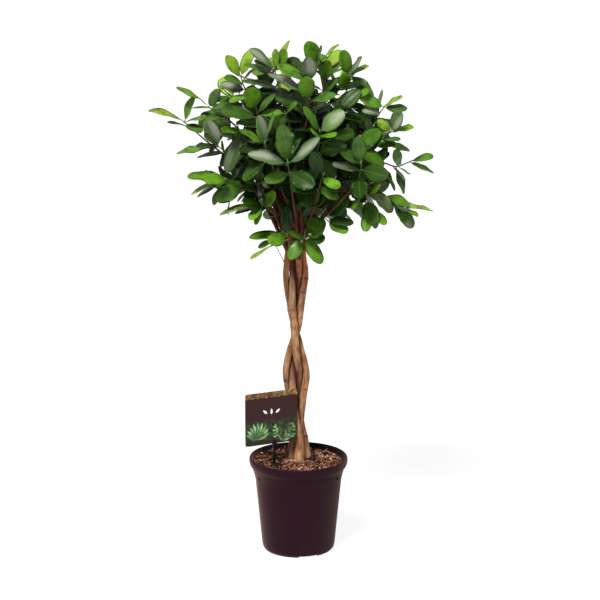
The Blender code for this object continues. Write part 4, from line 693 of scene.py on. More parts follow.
# Shoots low in the head that are too many for the CAD model, read off the photograph as SEEN_SHOOTS are.
LOW_SHOOTS = [
    ([(32, 594), (50, 611), (65, 627)], -50, [
        (67, 629, 99, 653, 27, "D"), (65, 627, 91, 608, 26, "D"), (59, 622, 81, 591, 26, "D"),
        (48, 611, 40, 642, 22, "D"), (54, 615, 77, 579, 15, "D"), (62, 625, 55, 656, 17, "D")]),
    ([(8, 575), (15, 598), (23, 617)], -70, [
        (21, 613, 4, 636, 17, "D"), (23, 615, 35, 637, 19, "T"), (18, 606, 37, 596, 21, "D"),
        (13, 596, -2, 615, 15, "D"), (11, 589, 38, 572, 24, "T"), (21, 611, 45, 620, 17, "D")]),
    ([(-13, 568), (-13, 594), (-14, 620)], -45, [
        (-14, 620, -28, 649, 19, "D"), (-13, 613, -36, 611, 15, "D"), (-13, 582, -26, 558, 21, "G"),
        (-14, 618, -2, 644, 15, "D")]),
    ([(-38, 592), (-53, 610), (-67, 622)], -30, [
        (-67, 622, -92, 627, 21, "D"), (-62, 617, -43, 634, 21, "D"), (-57, 611, -72, 596, 15, "T"),
        (-65, 620, -62, 646, 14, "D")]),
    ([(-48, 611), (-62, 634), (-75, 653)], -60, [
        (-77, 653, -87, 678, 22, "T"), (-73, 649, -61, 677, 19, "D"), (-68, 642, -94, 644, 19, "D"),
        (-75, 651, -99, 661, 15, "T")]),
    ([(55, 606), (79, 627), (98, 639)], -30, [
        (99, 641, 124, 654, 21, "D"), (91, 636, 111, 615, 19, "D"), (84, 630, 77, 658, 21, "D"),
        (96, 639, 91, 668, 17, "T")]),
]
# Guessed shoots low in the head's back and sides: (degrees from +X, distance from the axis, height).
BACK_SEED = 7
BACK_SHOOTS = [
    (-8, 0.118, 0.640), (16, 0.098, 0.612), (38, 0.112, 0.646), (58, 0.084, 0.604), (80, 0.106, 0.634),
    (102, 0.078, 0.600), (122, 0.108, 0.642), (136, 0.072, 0.612), (164, 0.110, 0.652), (188, 0.112, 0.652),
    (92, 0.050, 0.626), (150, 0.052, 0.632), (30, 0.054, 0.630),
]
# A thin bare shoot and the small figs, in millimetres as in SEEN_SHOOTS.
BARE_SHOOT = [(-24, 512), (-31, 526), (-37, 538), (-42, 546)]
BARE_RADII = (0.0009, 0.0005)
FIGS = [(7, 550), (13, 550), (14, 554), (18, 558), (22, 559)]
FIG_RADIUS, FIG_SIDES, FIG_RINGS = 0.0018, 10, 5
FIG_SHARES = (0.0, 0.05, 0.10, 0.15, 0.20, 0.25, 0.30)  # places along a leaf that can carry a fig
FIG_NEAR, FIG_OUT = 0.006, 0.0030  # how near a fig's carrier is as seen, and how far a fig stands off it

POT_ROUND = 112
SHARP_ANGLE = 38
LUG_TURNS = (-28, 28, 152, 208)  # degrees from +X to each stacking lug under the pot's collar
LUG_ENDS = ((-0.0050, 0.0), (-0.0036, 1.0), (0.0036, 1.0), (0.0050, 0.0))  # (place along it, how swollen)
# A lug's section: (radius, height, whether it swells).
LUG_SECTION = ((0.0752, 0.1340, 0), (0.0776, 0.1352, 1), (0.0776, 0.1368, 1), (0.0760, 0.1380, 0))
LUG_SWELL = 0.0012
HOLE_SIDES = 24

CHIP_COUNT = 2600
CHIP_SIZES, BIG_CHIP_SHARE, BIG_CHIP = (0.0012, 0.0030), 0.16, 1.75
CHIP_EDGE, CHIP_OVER = 0.0012, 0.0006  # how far chips lie inside the mix's edge, and may reach over it
FOOT_BAND, STAKE_ROOM = (-0.01, 0.03), 0.003  # chips keep clear of the stems at these heights off the mix
CHIP_LAYERS = 0.0028  # how high the last chips may lie over the first
# Where clumps of dark mix lie over the chips: (x, y, how far they reach).
DARK_LUMPS = [(-0.0385, -0.0320, 0.0100), (-0.056, 0.038, 0.0085), (0.023, -0.004, 0.0050),
              (0.048, 0.030, 0.0040)]
LUMP_CHIPS, LUMP_SIZES, LUMP_RISE, LUMP_EDGE = 130, (0.0014, 0.0028), 0.0030, 0.003
FIBRE_COUNT, FIBRE_STEP, FIBRE_EDGE, FIBRE_LIFT, FIBRE_BEND = 160, 0.0022, 0.012, 0.0016, 0.0012
FIBRE_RADII = [0.00012, 0.0002, 0.00022, 0.0002, 0.00016, 0.00008]

CARD_CELLS = 16
MOTIF_ROWS, MOTIF_LIFT = 9, 0.00006
FAN_FOOT, FAN_LEAVES, FAN_STEP = (-0.026, 0.010), 9, 16  # the step is in degrees
FAN_LENGTH, FAN_WIDTH = 0.030, 0.0078
TUFT_LEAVES, TUFTS_X, TUFTS_Y = 46, (0.004, 0.044), (0.008, 0.034)
TUFT_LENGTHS, TUFT_WIDTHS = (0.006, 0.011), (0.0022, 0.0040)
BLOOM_X, BLOOM_Y, BLOOM_STEP, BLOOM_SIZE = -0.012, 0.058, 0.012, (0.010, 0.0042)

# Speckled materials: the noise's (scale, detail, roughness), stops of colour, roughness, gloss, and the
# (height, strength) of the specks.
SPECKLED = {
    "potting_mix_fines": (
        (320.0, 5.0, 0.7),
        [(0.35, (0.008, 0.003, 0.002)), (0.60, (0.045, 0.015, 0.009)), (0.80, (0.130, 0.050, 0.028))],
        0.95, 0.15, (0.0020, 1.0),
    ),
    "stake_plastic_black": (
        (1500.0, 2.0), [(0.3, (0.0020, 0.0016, 0.0020)), (0.7, (0.0050, 0.0040, 0.0046))],
        0.42, 0.12, (0.0001, 0.6),
    ),
    "young_fig": (
        (900.0, 3.0), [(0.35, (0.420, 0.420, 0.200)), (0.70, (0.680, 0.620, 0.400))],
        0.5, 0.3, (0.0001, 0.5),
    ),
}

# Wide soft lamps: (name, where it shines from, strength, its width in degrees, colour).
LAMPS = [
    ("key", (-0.35, -0.75, 1.0), 5.5, 18, (1.0, 1.0, 0.98)),
    ("fill", (0.80, -0.60, 0.55), 0.80, 70, (0.98, 0.99, 1.0)),
]
WORLD_STRENGTH = 0.32
FLOOR_REACH = 40.0
CAMERA_SENSOR, CAMERA_LENS = 36.0, 129.6  # in millimetres
CAMERA_TILT = 13.5  # degrees down, fitted to the ellipses of the pot's rim and foot


def put(socket, value):
    """Links a Value to a socket, or sets the socket's own value."""
    if isinstance(value, Value):
        socket.id_data.links.new(value.socket, socket)
    elif isinstance(value, tuple) and len(value) == 3 and socket.type == "RGBA":
        socket.default_value = (*value, 1)
    else:
        socket.default_value = value


def new_node(tree, kind, inputs, **settings):
    node = tree.nodes.new("ShaderNode" + kind)
    for key, value in settings.items():
        setattr(node, key, value)
    for key, value in inputs.items():
        put(node.inputs[key], value)
    return node


class Value:
    """What a shader node gives out. Its methods make the nodes that read it."""

    def __init__(self, socket):
        self.socket, self.tree = socket, socket.id_data

    def node(self, kind, inputs, output=0, **settings):
        return Value(new_node(self.tree, kind, inputs, **settings).outputs[output])

    def math(self, operation, other=0.0):
        return self.node("Math", {0: self, 1: other}, operation=operation)

    def __add__(self, other):
        return self.math("ADD", other)

    def __sub__(self, other):
        return self.math("SUBTRACT", other)

    def __mul__(self, other):
        return self.math("MULTIPLY", other)

    def __abs__(self):
        return self.math("ABSOLUTE")

    def band(self, start, end, low=0.0, high=1.0):
        """A smooth step from low to high as this value goes from start to end."""
        inputs = {"Value": self, "From Min": start, "From Max": end, "To Min": low, "To Max": high}
        return self.node("MapRange", inputs, interpolation_type="SMOOTHSTEP")

    def toward(self, other, share, blend="MIX"):
        """This colour with a share of another."""
        return mixed(share, self, other, blend)

    def ramp(self, *stops):
        """The colour that this value has among stops of (place, colour)."""
        node = new_node(self.tree, "ValToRGB", {0: self})
        elements = node.color_ramp.elements
        for element, (position, colour) in zip(elements, (stops[0], stops[-1])):
            element.position, element.color = position, (*colour, 1)
        for position, colour in stops[1:-1]:
            elements.new(position).color = (*colour, 1)
        return Value(node.outputs[0])

    def scaled(self, *scale):
        return self.node("Mapping", {"Vector": self, "Scale": scale})

    def noise(self, scale, detail=3.0, roughness=0.55):
        inputs = {"Vector": self, "Scale": scale, "Detail": detail, "Roughness": roughness}
        return self.node("TexNoise", inputs)

    def cells(self, scale, feature, output):
        return self.node("TexVoronoi", {"Vector": self, "Scale": scale}, output, feature=feature)

    def parts(self):
        return [Value(output) for output in new_node(self.tree, "SeparateXYZ", {0: self}).outputs]

    def bump(self, distance, strength, **normal):
        return self.node("Bump", {"Height": self, "Distance": distance, "Strength": strength, **normal})


def mixed(share, first, second, blend="MIX"):
    owner = share if isinstance(share, Value) else first
    return owner.node("Mix", {0: share, 6: first, 7: second}, 2, data_type="RGBA", blend_type=blend)


class Shader:
    """A Principled material under construction."""

    def __init__(self, name):
        self.material = bpy.data.materials.new(name)
        self.material.use_nodes = True
        self.tree = self.material.node_tree

    def source(self, kind, output=0, **settings):
        return Value(new_node(self.tree, kind, {}, **settings).outputs[output])

    def coords(self, output="Object"):
        return self.source("TexCoord", output)

    def uv(self, name):
        return self.source("UVMap", uv_map=name)

    def attribute(self, name, output="Vector"):
        return self.source("Attribute", output, attribute_name=name)

    def done(self, colour, roughness, gloss, **more):
        inputs = {"Base Color": colour, "Roughness": roughness, "Specular IOR Level": gloss, **more}
        for key, value in inputs.items():
            put(self.tree.nodes["Principled BSDF"].inputs[key.replace("_", " ")], value)
        return self.material


def leaf_material(name, gloss, back=False):
    """The blade's upper face or its back. The attribute 'leaf' holds shade (tone with painted light and
    shade), youth and sheen (a painted highlight).
    """
    shader = Shader(name)
    u, v, _ = shader.uv("blade").parts()
    side = (v - 0.5) * 2.0
    looks = shader.attribute("leaf").parts()
    rib = abs(side).band(0.02, 0.07, 1.0, 0.0)
    wave = abs(((u * 13.0 - abs(side) * 2.4) * math.pi).math("SINE"))
    veins = wave.band(0.0, 0.14, 1.0, 0.0)
    blotches = shader.coords().noise(62.0)
    if back:
        colour = leaf_back_colour(looks, rib, veins, blotches)
        roughness = blotches.band(0.3, 0.7, 0.46, 0.60)
    else:
        colour = leaf_face_colour(looks, u, side, rib, veins, blotches)
        # Painted sheen: a pale streaky highlight mixed into the face's colour.
        colour = colour.toward((0.268, 0.280, 0.226), painted_sheen(shader, looks, u, side) * 0.92)
        roughness = blotches.band(0.3, 0.7, 0.22, 0.34)
    grooves = shader.coords().noise(1400.0, 2.0) * 0.25 - veins * 0.4 - rib * 0.7
    return shader.done(colour, roughness, gloss, Normal=grooves.bump(0.00016 if back else 0.00010, 0.7))


def leaf_back_colour(looks, rib, veins, blotches):
    """Paler and duller, with plain veins."""
    shade, young, _ = looks
    colour = shade.ramp((0.0, (0.060, 0.095, 0.034)), (1.0, (0.125, 0.200, 0.062)))
    colour = colour.toward((0.260, 0.380, 0.060), young)
    colour = colour.toward((0.095, 0.140, 0.055), blotches.band(0.35, 0.70))
    colour = colour.toward((0.165, 0.230, 0.095), veins * 0.20)
    return colour.toward((0.220, 0.290, 0.110), rib * 0.60)


def leaf_face_colour(looks, u, side, rib, veins, blotches):
    """Painted shade at its foot and in blotches, with faint veins, rib and edge."""
    shade, young, _ = looks
    old = shade.ramp((0.0, (0.0008, 0.003, 0.0006)), (0.15, (0.0060, 0.019, 0.0020)),
                     (0.35, (0.018, 0.055, 0.0036)), (0.60, (0.045, 0.124, 0.0060)),
                     (1.0, (0.100, 0.252, 0.0105)))
    fresh = old.toward((0.190, 0.310, 0.015), young)
    darker = fresh.toward((0.004, 0.014, 0.002), 0.62)
    # Painted shade: darker towards the leaf's foot and in soft blotches.
    shadow = u.band(0.03, 0.42, 0.85, 0.0).math("MAXIMUM", blotches.band(0.42, 0.72))
    colour = fresh.toward(darker, shadow)
    colour = colour.toward((0.120, 0.200, 0.050), veins * 0.07)
    colour = colour.toward((0.180, 0.280, 0.080), rib * 0.16)
    return colour.toward((0.150, 0.250, 0.060), abs(side).band(0.95, 0.99) * 0.30)


def painted_sheen(shader, looks, u, side):
    """How much painted sheen, a pale streaky highlight, lies on a leaf: a patch in its own place, on the
    pale kinds.
    """
    shade, _, pale = looks
    own = (shade * 97.0).math("FRACT")
    far = u - (own * 0.32 + 0.48)
    wide = side - (own * -0.5 + 0.45)
    streaks = shader.uv("blade").scaled(2.5, 16.0, 1.0).noise(1.0, 4.0, 0.6)
    patchy = far * far * 3.2 + wide * wide * 1.8 + streaks.band(0.32, 0.68, 0.35, -0.15)
    return patchy.band(0.0, 1.00, 1.0, 0.20) * pale


def stalk_material():
    shader = Shader("leaf_stalk")
    spots = shader.coords().noise(420.0, 2.0)
    young = shader.attribute("leaf").parts()[1]
    colour = spots.ramp((0.30, (0.040, 0.075, 0.016)), (0.55, (0.090, 0.145, 0.032)),
                        (0.80, (0.140, 0.135, 0.048)))
    colour = colour.toward((0.30, 0.42, 0.08), young)
    return shader.done(colour, 0.5, 0.35, Normal=spots.bump(0.0002, 0.6))


def twig_material():
    """Brown at the foot of a shoot and green at its end: the first value of 'leaf' runs from 0 to 1."""
    shader = Shader("green_twig")
    along = shader.attribute("leaf").parts()[0]
    spots = shader.coords().noise(500.0)
    brown = spots.ramp((0.30, (0.030, 0.014, 0.008)), (0.75, (0.095, 0.055, 0.026)))
    green = spots.ramp((0.30, (0.030, 0.060, 0.012)), (0.75, (0.085, 0.130, 0.030)))
    colour = brown.toward(green, along.band(0.15, 0.75))
    return shader.done(colour, 0.6, 0.10, Normal=spots.bump(0.0003, 0.8))


def bark_material(name, thin=False):
    """Tan bark with long fissures, dark scars, a redder top and painted shade in the creases and deep in
    the braid. 'grain' runs round and up each stem.
    """
    shader = Shader(name)
    grain = shader.attribute("grain")
    height = shader.coords().parts()[2]
    streaks = grain.scaled(1.0, 1.0, 0.10).noise(420.0, 5.0, 0.62)
    patches = grain.scaled(1.0, 1.0, 0.45).noise(75.0)
    flecks = grain.noise(900.0, 2.0)
    colour = patches.ramp((0.28, (0.140, 0.050, 0.022)), (0.50, (0.300, 0.140, 0.064)),
                          (0.74, (0.490, 0.300, 0.172)))
    colour = colour.toward((0.070, 0.024, 0.013), streaks.band(0.38, 0.54, 0.65, 0.0))
    colour = colour.toward((0.47, 0.33, 0.22), flecks.band(0.60, 0.75, 0.0, 0.5))
    if thin:
        colour = colour.toward((0.078, 0.024, 0.013), 0.90)
    else:
        colour = colour.toward((0.370, 0.126, 0.060), height.band(0.45, 0.52, 0.0, 0.66))
        colour = colour.toward((0.180, 0.150, 0.055), height.band(0.56, 0.62, 0.0, 0.60))
    colour = colour.toward((0.045, 0.020, 0.014), shader.attribute("scar", "Fac"))
    stretches = [(0.23, 1.0), (0.27, 1.0), (0.30, 0.74), (0.33, 0.84), (0.36, 1.0), (0.41, 1.0),
                 (0.44, 0.76), (0.47, 0.90), (0.49, 1.0)]
    tone = height.ramp(*((place, (value, value, value)) for place, value in stretches))
    colour = colour.toward(tone, 1.0, "MULTIPLY")
    # Painted shade in the creases between strands and deep inside the braid.
    painted_groove_shade = shader.attribute("crease", "Fac").band(0.12, 0.80, 0.0, 0.93)
    colour = colour.toward((0.052, 0.010, 0.007), painted_groove_shade)
    relief = streaks + flecks * 0.3
    normal = relief.bump(0.0004 if thin else 0.0009, 0.9)
    return shader.done(colour, patches.band(0.3, 0.7, 0.88, 0.70), 0.05 if thin else 0.16, Normal=normal)


def chip_material():
    """Chips of bark and coir. Each chip has its own value in 'chip'."""
    shader = Shader("bark_chips")
    fibres = shader.coords().scaled(1.0, 3.0, 1.0).noise(700.0, 4.0, 0.65)
    own = shader.attribute("chip", "Fac").ramp(
        (0.0, (0.005, 0.002, 0.0015)), (0.22, (0.036, 0.010, 0.006)), (0.50, (0.150, 0.050, 0.026)),
        (0.80, (0.350, 0.160, 0.096)), (1.0, (0.560, 0.330, 0.220)),
    )
    darker = own.toward((0.022, 0.006, 0.004), 0.6)
    colour = darker.toward(own, fibres.band(0.38, 0.60))
    return shader.done(colour, 0.85, 0.2, Normal=fibres.bump(0.0006, 0.9))


def pot_material():
    """Dark purple-brown plastic with a soft sheen. It has painted shade under its lip and on its inside."""
    shader = Shader("pot_plastic_satin")
    coords = shader.coords()
    x, y, z = coords.parts()
    clouds = coords.noise(22.0, 4.0)
    dust = coords.scaled(1.0, 1.0, 0.35).noise(130.0, 5.0, 0.7)
    colour = clouds.ramp((0.30, (0.0118, 0.0032, 0.0074)), (0.75, (0.0163, 0.0047, 0.0100)))
    colour = colour.toward((0.060, 0.038, 0.042), dust.band(0.64, 0.90, 0.0, 0.14))
    # Painted shade under the lip.
    shade_under_lip = z.band(0.1360, 0.1450, 0.0, 0.5) * z.band(0.1500, 0.1570, 1.0, 0.0)
    colour = colour.toward((0.0055, 0.0010, 0.0044), shade_under_lip)
    colour = colour.toward((0.050, 0.034, 0.036), z.band(0.006, 0.0, 0.0, 0.5))
    # Painted shade: the inside of the pot is made nearly black.
    nx, ny, _ = shader.coords("Normal").parts()
    outward = nx * x + ny * y
    colour = colour.toward((0.0030, 0.0020, 0.0024), outward.band(-0.020, -0.060, 0.0, 0.9))
    rings = coords.scaled(0.02, 0.02, 1.0).noise(260.0, 2.0).bump(0.00012, 0.5)
    normal = coords.noise(1900.0, 2.0).bump(0.00010, 0.7, Normal=rings)
    return shader.done(colour, clouds.band(0.3, 0.7, 0.52, 0.62), 0.03, Normal=normal,
                       Sheen_Weight=0.20, Sheen_Roughness=0.40, Sheen_Tint=(1.0, 0.62, 0.45))


def card_material():
    """Dark brown card stock with a strip of fallen leaves printed along its top, by its own UV map."""
    shader = Shader("label_card_print")
    uv = shader.uv("card")
    y = uv.parts()[1]
    weave = uv.noise(240.0)
    ground = weave.ramp((0.30, (0.020, 0.006, 0.006)), (0.75, (0.036, 0.013, 0.012)))
    hue = uv.cells(26.0, "F1", "Color").parts()[0]
    leaves = hue.ramp((0.0, (0.060, 0.030, 0.012)), (0.30, (0.240, 0.080, 0.020)),
                      (0.50, (0.330, 0.190, 0.070)), (0.70, (0.100, 0.110, 0.030)),
                      (1.0, (0.180, 0.060, 0.030)))
    edge = uv.cells(26.0, "DISTANCE_TO_EDGE", "Distance")
    leaves = leaves.toward((0.020, 0.010, 0.008), edge.band(0.0, 0.12, 0.8, 0.0))
    ragged = y + uv.noise(18.0, 4.0) * 0.10
    thicket = uv.noise(14.0, 4.0).ramp((0.38, (0.014, 0.010, 0.009)), (0.55, (0.024, 0.040, 0.018)),
                                       (0.75, (0.060, 0.090, 0.050)))
    ground = ground.toward(thicket, ragged.band(0.56, 0.40))
    ground = ground.toward((0.022, 0.010, 0.009), y.band(0.10, 0.06))
    colour = ground.toward(leaves, ragged.band(0.935, 0.965))
    return shader.done(colour, 0.38, 0.14, Normal=weave.bump(0.00005, 0.5))


def print_material(name, dark, light):
    """Ink of one motif: lighter on one side of its middle line, with fine spots."""
    shader = Shader(name)
    v = shader.uv("card").parts()[1]
    colour = mixed(v.band(0.35, 0.65), dark, light)
    colour = colour.toward((0.40, 0.52, 0.28), abs(v - 0.5).band(0.02, 0.06, 1.0, 0.0) * 0.7)
    colour = colour.toward(dark, shader.coords().noise(600.0).band(0.45, 0.75, 0.0, 0.35))
    return shader.done(colour, 0.38, 0.14)


def speckled_material(name):
    """A plain material of two or three shades of one colour, in specks that also stand out a little."""
    pattern, stops, roughness, gloss, relief = SPECKLED[name]
    shader = Shader(name)
    specks = shader.coords().noise(*pattern)
    return shader.done(specks.ramp(*stops), roughness, gloss, Normal=specks.bump(*relief))


def floor_material():
    """A pale floor that glows a little, so that the plant's shadow on it is faint."""
    shader = Shader("pale_floor")
    colour = shader.coords().noise(1.5, 2.0).ramp((0.0, (0.11, 0.11, 0.11)), (1.0, (0.13, 0.13, 0.13)))
    return shader.done(colour, 0.9, 0.1, Emission_Color=(1.0, 1.0, 1.0), Emission_Strength=0.89)


def linked(name, data):
    """A new object in the scene."""
    obj = bpy.data.objects.new(name, data)
    bpy.context.scene.collection.objects.link(obj)
    return obj


def settle(obj, replaced=None):
    """Every piece rides on the plant's one body, and a finer form takes its CAD node's place."""
    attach(obj, "root")
    if replaced:
        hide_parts(replaced)


class Piece:
    """A mesh being collected: points, faces with their material, and named values on points or corners."""

    def __init__(self):
        self.points, self.faces, self.kinds = [], [], []
        self.values, self.corners = {}, {}

    def add(self, points, faces, kind=0, values=None, corners=None):
        start = len(self.points)
        self.points += points
        self.faces += [tuple(start + k for k in face) for face in faces]
        self.kinds += [kind] * len(faces) if isinstance(kind, int) else kind
        for name, value in (values or {}).items():
            column = value if isinstance(value, list) else [value] * len(points)
            self.values.setdefault(name, []).extend(column)
        for name, value in (corners or {}).items():
            self.corners.setdefault(name, []).extend(value)

    def build(self, name, materials, slot=None, replaced=None, smooth=True):
        mesh = bpy.data.meshes.new(name)
        mesh.from_pydata(self.points, [], self.faces)
        for material in materials:
            mesh.materials.append(material)
        mesh.polygons.foreach_set("material_index", self.kinds)
        for key, column in self.values.items():
            if isinstance(column[0], (tuple, Vector)):
                data = mesh.attributes.new(key, "FLOAT_VECTOR", "POINT").data
                data.foreach_set("vector", [c for value in column for c in value])
            else:
                mesh.attributes.new(key, "FLOAT", "POINT").data.foreach_set("value", column)
        for key, column in self.corners.items():
            layer = mesh.uv_layers.new(name=key)
            layer.data.foreach_set("uv", [c for value in column for c in value])
        if smooth:
            mesh.shade_smooth()
        mesh.update()
        obj = linked(name, mesh)
        if slot:
            settle(obj, replaced)
        return obj


def sheet(columns, rows):
    """Quads of a grid of points that are numbered row by row."""
    return [(a, a + 1, a + columns + 1, a + columns)
            for low in range(0, (rows - 1) * columns, columns) for a in range(low, low + columns - 1)]


def wall(count, sides):
    """Quads between the rings of a tube whose points are numbered ring by ring."""
    faces = []
    for low in range(0, count - sides, sides):
        for n in range(sides):
            a, b = low + n, low + (n + 1) % sides
            faces.append((a, b, b + sides, a + sides))
    return faces


def caps(count, sides):
    """Triangles that close the ends of a tube with the two points that follow its own."""
    top = count - sides
    faces = []
    for n in range(sides):
        m = (n + 1) % sides
        faces += [(m, n, count), (top + n, top + m, count + 1)]
    return faces


def smooth_line(points, count):
    """More points on a smooth curve through these points."""
    ends = [points[0] * 2 - points[1]] + list(points) + [points[-1] * 2 - points[-2]]
    spans = len(points) - 1
    line = []
    for k in range(count):
        place = min(spans - 1e-9, k * spans / (count - 1))
        n, t = int(place), place - int(place)
        a, b, c, d = ends[n:n + 4]
        line.append(0.5 * (2 * b + (c - a) * t + (2 * a - 5 * b + 4 * c - d) * t * t
                           + (3 * b - a - 3 * c + d) * t**3))
    return line


def blade_outline(u, blunt):
    """Half-width of a blade, as a share of the widest: wedge-shaped at the base, blunt at the tip."""
    v = u ** (math.log(0.5) / math.log(BLADE_WIDEST))
    return max(0.0, 4 * v * (1 - v)) ** (0.76 - blunt * u)


def add_leaf(piece, leaf, rng, look):
    """A leaf with its real outline: a folded and slightly waved blade with a midrib, on a round stalk."""
    top, bottom, uv = [], [], []
    blunt = rng.uniform(0.20, 0.34)
    fold = rng.uniform(0.06, 0.34)
    curl = rng.uniform(0.02, 0.18)
    twist = rng.uniform(-0.30, 0.30)
    sway = rng.uniform(-0.03, 0.03)
    waves, phase = rng.uniform(1.0, 2.4), rng.uniform(0, FULL_TURN)
    ripple = rng.uniform(0.0, 0.10)
    for u in BLADE_RINGS:
        along = PETIOLE + (1 - PETIOLE) * u
        half = max(leaf.width / 2 * blade_outline(u, blunt), NARROWEST)
        turn = twist * (u - 0.3)
        for t in BLADE_ACROSS:
            lift = half * (fold * (abs(t) - 0.5) - curl * (t * t - 0.3))
            wave = math.sin(FULL_TURN * waves * u + phase + (math.pi if t < 0 else 0))
            lift += half * ripple * t * t * wave
            lift += half * t * math.sin(turn)
            across = half * t * math.cos(turn) + leaf.length * sway * u * u
            top.append(blade_point(leaf, along, across, lift))
            depth = BLADE_THICK * (1 - t * t) + RIB_THICK * (1 - u) * math.exp(-(t / 0.15) ** 2)
            bottom.append(blade_point(leaf, along, across, lift - depth))
            uv.append((u, (t + 1) / 2))
    tip = blade_point(leaf, 1.0, leaf.length * sway, 0)
    faces, kinds, places = blade_faces(uv)
    piece.add(top + bottom + [tip], faces, kinds, {"leaf": look}, {"blade": places})
    stalk = [blade_point(leaf, share * PETIOLE, 0, -0.0002) for share in (0.0, 0.35, 0.7, 1.08)]
    add_tube(piece, stalk, ramp(STALK_RADII, len(stalk)), 5, 2, look)


def blade_faces(uv):
    """(faces, kinds, UV places) of a blade. Its top and bottom share the points of its edges and tip."""
    columns, size = len(BLADE_ACROSS), len(uv)
    tip = 2 * size
    last = size - columns
    fronts = sheet(columns, len(BLADE_RINGS)) + [(a, a + 1, tip) for a in range(last, size - 1)]

    def under(k):
        return k if k == tip or k % columns in (0, columns - 1) else size + k

    def place(face, k):
        if k < tip:
            return uv[k % size]
        others = [uv[n % size][1] for n in face if n < tip]
        return 1.0, sum(others) / 2

    backs = [tuple(under(k) for k in reversed(face)) for face in fronts]
    kinds = [0] * len(fronts) + [1] * len(backs)
    return fronts + backs, kinds, [place(face, k) for face in fronts + backs for k in face]


def add_tube(piece, points, radii, sides, kind, look, closed=True):
    """A round bar. Its ends are closed with a point."""
    rings, faces = tube_mesh(points, radii, sides)
    if closed:
        faces += caps(len(rings), sides)
        rings += [points[0] - (points[1] - points[0]).normalized() * radii[0] * 0.3,
                  points[-1] + (points[-1] - points[-2]).normalized() * radii[-1] * 0.5]
    piece.add(rings, faces, kind, {"leaf": look}, {"blade": [(0.0, 0.5)] * (3 * len(faces))})


def add_twig(piece, spray):
    """The green end of a shoot with its pointed bud."""
    rows, sides = 10, 7
    line = smooth_line(spray.twig[:-1], rows)
    along = [(k // sides / (rows - 1), 0.0, 0.0) for k in range(rows * sides)]
    add_tube(piece, line, ramp(TWIG_RADII, rows), sides, 3, along, closed=False)
    tip, end = spray.twig[-2:]
    bud = [tip.lerp(end, t) for t in (-0.1, 0.25, 0.6, 1.0)]
    add_tube(piece, bud, BUD_RADII, 6, 2, (0.5, 0.5, 0.0))


def leaf_look(kind, rng):
    return tuple(min(1.0, max(0.0, value + rng.uniform(-spread, spread)))
                 for value, spread in zip(LEAF_LOOKS[kind], LOOK_SPREADS))


def guessed_kinds(spray, rng, inside):
    """Kinds for leaves that the photograph doesn't show, with painted light and shade: brighter up and out,
    dark inside.
    """
    sunlit = (spray.twig[-2].z - HEAD_MIDDLE.z) / HEAD_REACH.z
    chances = INNER_KINDS if inside else LOW_KINDS if sunlit < HIGH_FROM else HIGH_KINDS
    kinds = [rng.choice(chances) for _ in spray.leaves]
    if sunlit > HIGH_FROM and not inside and len(kinds) > 3:
        kinds[-1] = "Y"
    return kinds


def shaded(look, leaf):
    """The same look with painted shade: darker where a leaf is deep in the head."""
    out = leaf.root + leaf.along * (leaf.length / 2) - HEAD_MIDDLE
    depth = Vector((out.x / HEAD_REACH.x, out.y / HEAD_REACH.y, out.z / HEAD_REACH.z)).length
    light_share = min(1.0, max(DARKEST, (depth - SHADE_FROM) / SHADE_SPAN))
    return look[0] * light_share, look[1], look[2] * light_share


def make_foliage(name, sprays, replaced, materials, rng, inside=False):
    piece = Piece()
    for spray in sprays:
        add_twig(piece, spray)
        if isinstance(spray.rows, list):
            looks = [leaf_look(row[-1], rng) for row in spray.rows]
        else:
            kinds = guessed_kinds(spray, rng, inside)
            looks = [shaded(leaf_look(kind, rng), leaf) for kind, leaf in zip(kinds, spray.leaves)]
        for look, leaf in zip(looks, spray.leaves):
            add_leaf(piece, leaf, rng, look)
    piece.build(name, materials, "leaf_green", replaced)


def add_limb(piece, line, radii, sides, rng, knots=(), oval=0.0, marks=()):
    """A woody limb with uneven girth, a grain along it and dark scars.

    Its knots are (share of the length, angle, size), and its marks are (x, z) on the front.
    """
    points, grain, scars = [], [], []
    lengths = [0.0]
    for a, b in zip(line, line[1:]):
        lengths.append(lengths[-1] + (b - a).length)
    seed = Vector([rng.uniform(-50, 50) for _ in range(3)])
    side = UP.cross(line[1] - line[0])
    side = side.normalized() if side.length > 1e-6 else Vector((1, 0, 0))
    for k, (point, radius) in enumerate(zip(line, radii)):
        ahead = (line[min(k + 1, len(line) - 1)] - line[max(k - 1, 0)]).normalized()
        side = (side - ahead * side.dot(ahead)).normalized()
        other = ahead.cross(side)
        for n in range(sides):
            turn = FULL_TURN * n / sides
            out = side * math.cos(turn) + other * math.sin(turn)
            place = Vector((math.cos(turn) * radius, math.sin(turn) * radius, lengths[k]))
            uneven = 1 + 0.10 * noise.noise(seed + place * 60) + 0.05 * noise.noise(seed + place * 220)
            uneven += oval * math.cos(2 * turn + seed.x)
            scar = 0.0
            for share, angle, size in knots:
                along = (lengths[k] - share * lengths[-1]) / (KNOT_REACH * size)
                round_it = abs((turn - angle + math.pi) % FULL_TURN - math.pi) / (1.1 * size)
                uneven += 0.12 * math.exp(-along * along * 0.5 - round_it * round_it)
                scar = max(scar, math.exp(-(along - 0.4) ** 2 * 4 - round_it**2 * 1.6))
            surface = point + out * radius
            for mark_x, mark_z in marks if out.y < 0.3 else ():
                aside, above = (surface.x - mark_x) / MARK_REACH[0], (surface.z - mark_z) / MARK_REACH[1]
                apart = aside**2 + above**2
                uneven += 0.14 * math.exp(-apart * 0.5)
                scar = max(scar, math.exp(-apart))
            points.append(point + out * radius * uneven)
            grain.append(place + seed)
            scars.append(scar)
    faces = wall(len(points), sides) + caps(len(points), sides)
    points += [line[0].copy(), line[-1] + (line[-1] - line[-2]).normalized() * radii[-1] * 0.4]
    grain += [grain[0], grain[-1]]
    scars += [0.0, 0.6]
    piece.add(points, faces, 0, {"grain": grain, "scar": scars})


